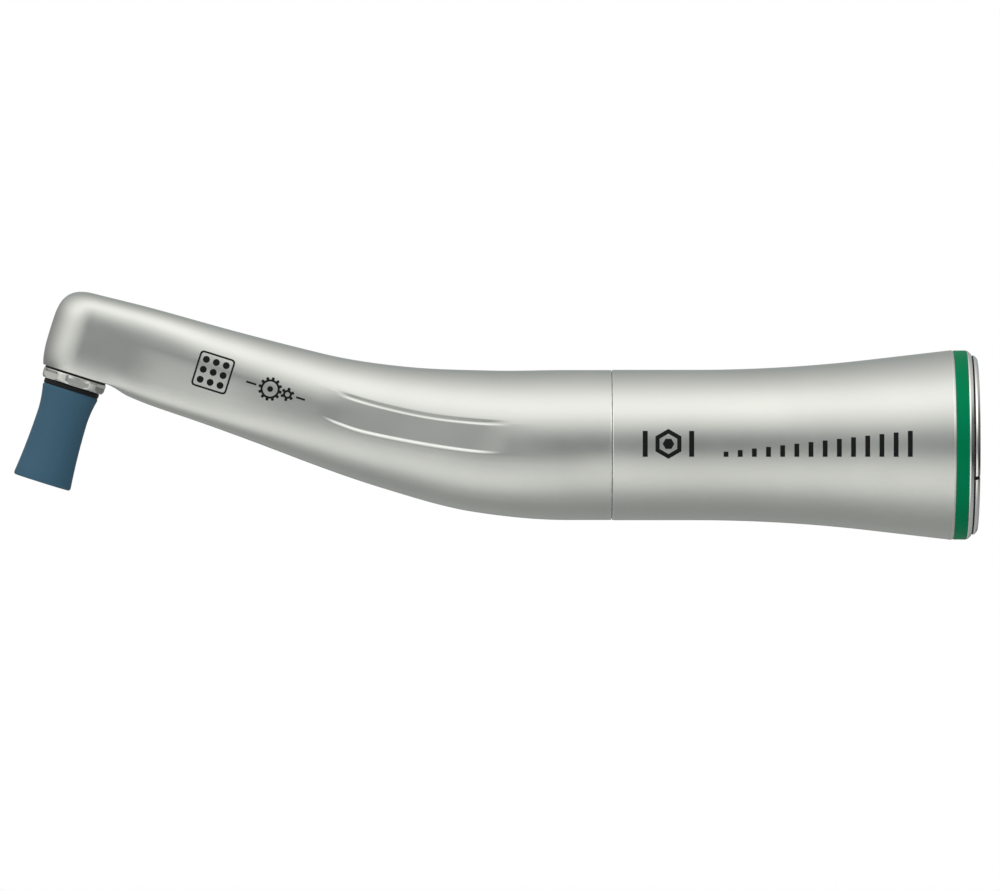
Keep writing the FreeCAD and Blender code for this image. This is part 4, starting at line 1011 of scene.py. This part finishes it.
def sleeve_marks():
    """A hexagon in a hexagonal band with a bar on each side, and a ramp of bars."""
    middle, spread, bar_half, bar_reach = (32.2, 0.12), 2.4, 0.26, 1.34
    shapes = [band(middle, polygon(1.55, 6, math.pi / 6), polygon(1.05, 6, math.pi / 6), 72),
              band(middle, polygon(0.6, 6), circle(0), 36)]
    for side in (-1, 1):
        centre = middle[0] + side * spread
        shapes.append(bar(centre - bar_half, centre + bar_half,
                          middle[1] - bar_reach, middle[1] + bar_reach))
    bars, first, pitch, width, low, rise, least = 14, 26.5, 1.46, 0.5, -1.22, 2.68, 0.2
    for k in range(bars):
        start = first - k * pitch
        share = least + (1 - least) * k / (bars - 1)
        shapes.append(bar(start - width, start, low, low + rise * share))
    return marks("sleeve_marks", shapes, on_sleeve)


# Putting it together

def build():
    """Gives every frame part its material, and adds the finer pieces that stand for some."""
    ti, bright, steel = titanium(), polished_steel(), turned_steel()
    ink, rubber = mark_ink(), black_rubber()
    bearing = turned_steel("bearing_steel", (0.72, 0.72, 0.73), 0.16)
    brass = turned_steel("bearing_brass", (0.70, 0.52, 0.25), 0.3)
    bronze = turned_steel("bronze", (0.52, 0.36, 0.2), 0.34)
    coats = {"satin_titanium": ti, "green_anodised": green_band(), "polished_steel": bright,
             "turned_steel": steel, "bearing_steel": bearing, "bearing_brass": brass,
             "bronze": bronze, "dark_steel": ring_steel(), "black_rubber": rubber,
             "blue_rubber": blue_rubber(), "light_glass": light_glass()}
    slots = {p["node"]: p["material_slot"] for p in frame["record"]["subparts"]}
    for node, thing in frame["nodes"].items():
        coat(thing, coats[slots[node]])
    shell, light = front_pieces()
    for node, piece in (("front_body", shell), ("light_rod", light),
                        ("rear_sleeve", rear_sleeve()), ("ratio_ring", ratio_ring()),
                        ("bezel_ring", bezel_ring()), ("end_nut", end_nut()),
                        ("head_ring", head_ring()), ("spindle_seal", spindle_seal()),
                        ("polishing_cup", polishing_cup())):
        coat(piece, coats[slots[node]])
        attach(piece, frame["nodes"][node]["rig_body"])
        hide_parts(node)
    coil, fixed_end, kept_length = dog_spring()
    coat(coil, steel)
    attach(coil, "input_shaft")
    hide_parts("dog_spring")
    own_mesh(coil)
    # The two black rubber rings, with their slot blocks, are painted shade in seams and slots.
    for piece, material in ((neck_marks(), ink), (sleeve_marks(), ink),
                            (nut_groove_shade(), rubber), (head_seam_shade(), rubber)):
        coat(piece, material)
        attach(piece, "housing")


# Studio

def floor():
    """A pale round floor whose rim fades into the white surroundings. In metres."""
    radius, drop = 0.45, 0.062
    fade_start, fade_end, opacity = 0.12, 0.42, 0.4
    mesh = bpy.data.meshes.new("floor")
    work = bmesh.new()
    bmesh.ops.create_circle(work, cap_ends=True, segments=96, radius=radius)
    work.to_mesh(mesh)
    work.free()
    thing = bpy.data.objects.new("floor", mesh)
    bpy.context.scene.collection.objects.link(thing)
    thing.location = (-0.05, 0, -drop)
    m = Nodes("floor_white")
    distance = m.add("ShaderNodeVectorMath", {0: m.place}, operation="LENGTH").outputs["Value"]
    grain = m.noise(220, 3)
    alpha = m.between(distance, opacity, 0.0, fade_start, fade_end)
    m.finish(Base_Color=m.mix(grain, colour(0.86, 0.86, 0.86), colour(0.9, 0.9, 0.9)),
             Roughness=0.6, Alpha=alpha, Specular_IOR_Level=0.2)
    thing.data.materials.append(m.material)
    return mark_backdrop(thing)


# Tints of the surroundings' dim and bright parts, and the level that parts them

COOL, WARM = (0.93, 1.0, 0.985), (1.0, 0.995, 0.965)
WARM_FROM = 0.6


def surroundings():
    """A soft studio: white to look at, with a bright ring round the front that lights the object.
    It is dimmer at both ends of the handle, and a little dimmer low on the coupling's side."""
    world = bpy.data.worlds.new("studio")
    bpy.context.scene.world = world
    world.use_nodes = True
    world.node_tree.nodes.clear()
    add = Tree(world.node_tree).add

    def calculate(operation, *values):
        return add("ShaderNodeMath", dict(enumerate(values)), operation=operation).outputs[0]

    def between(value, start, end, low, high):
        return add("ShaderNodeMapRange", {"Value": value, "From Min": start, "From Max": end,
                                          "To Min": low, "To Max": high},
                   interpolation_type="SMOOTHSTEP").outputs["Result"]

    way = add("ShaderNodeSeparateXYZ", {0: add("ShaderNodeTexCoord").outputs["Generated"]}).outputs
    front = calculate("MULTIPLY", way["Y"], -1.0)
    turn = calculate("DIVIDE", calculate("ARCCOSINE", front), math.pi)

    def ramp(stops):
        """Brightness by the angle in degrees away from -Y, at half strength to stay below 1."""
        node = add("ShaderNodeValToRGB", {"Fac": turn})
        items = node.color_ramp.elements
        while len(items) < len(stops):
            items.new(0.5)
        for item, (degrees, level) in zip(items, stops):
            item.position = degrees / 180
            item.color = (*(level / 2 * c for c in (COOL if level < WARM_FROM else WARM)), 1)
        return node.outputs["Color"]

    upper = ramp([(0, 0.21), (13, 0.36), (32, 0.98), (55, 1.52), (75, 1.40), (95, 1.02),
                  (120, 0.68), (150, 0.44)])
    lower = ramp([(0, 0.21), (13, 0.34), (29, 0.97), (47, 1.30), (64, 1.02), (84, 0.38),
                  (105, 0.16), (150, 0.18)])
    side = between(way["Z"], -0.25, 0.25, 0.0, 1.0)
    mix = add("ShaderNodeMix", {0: side, 6: lower, 7: upper}, data_type="RGBA").outputs[2]
    level = calculate("SUBTRACT", 1.0, calculate("MULTIPLY", way["Z"], way["Z"]))
    sideways = calculate("MULTIPLY", way["X"], calculate("POWER", level, 4.0))
    strength = calculate("SUBTRACT", between(sideways, 0.2, 0.8, 2.0, 0.35),
                         between(sideways, -0.15, -0.7, 0.0, 0.62))
    shade = calculate("MULTIPLY", between(way["X"], -0.16, 0.02, 0.0, 0.2),
                      calculate("SUBTRACT", 1.0, side))
    strength = calculate("MULTIPLY", strength, calculate("SUBTRACT", 1.0, shade))
    studio = add("ShaderNodeBackground", {"Color": mix, "Strength": strength}).outputs[0]
    white = add("ShaderNodeBackground", {"Color": (1, 1, 1, 1)}).outputs[0]
    seen = add("ShaderNodeLightPath").outputs["Is Camera Ray"]
    choose = add("ShaderNodeMixShader", {0: seen, 1: studio, 2: white}).outputs[0]
    add("ShaderNodeOutputWorld", {"Surface": choose})


def camera():
    """A long lens that looks along +Y at the object's middle. In metres."""
    distance, view_width = 1.15, 0.104
    middle_x, middle_z = -0.0496, -0.00005
    data = bpy.data.cameras.new("camera")
    data.sensor_width = 36
    data.lens = data.sensor_width * distance / view_width
    data.clip_end = 10
    thing = bpy.data.objects.new("camera", data)
    bpy.context.scene.collection.objects.link(thing)
    thing.location = (middle_x, -distance, middle_z)
    thing.rotation_euler = (math.pi / 2, 0, 0)
    bpy.context.scene.camera = thing


build()
floor()
surroundings()
camera()
bpy.context.scene.view_settings.view_transform = "Standard"
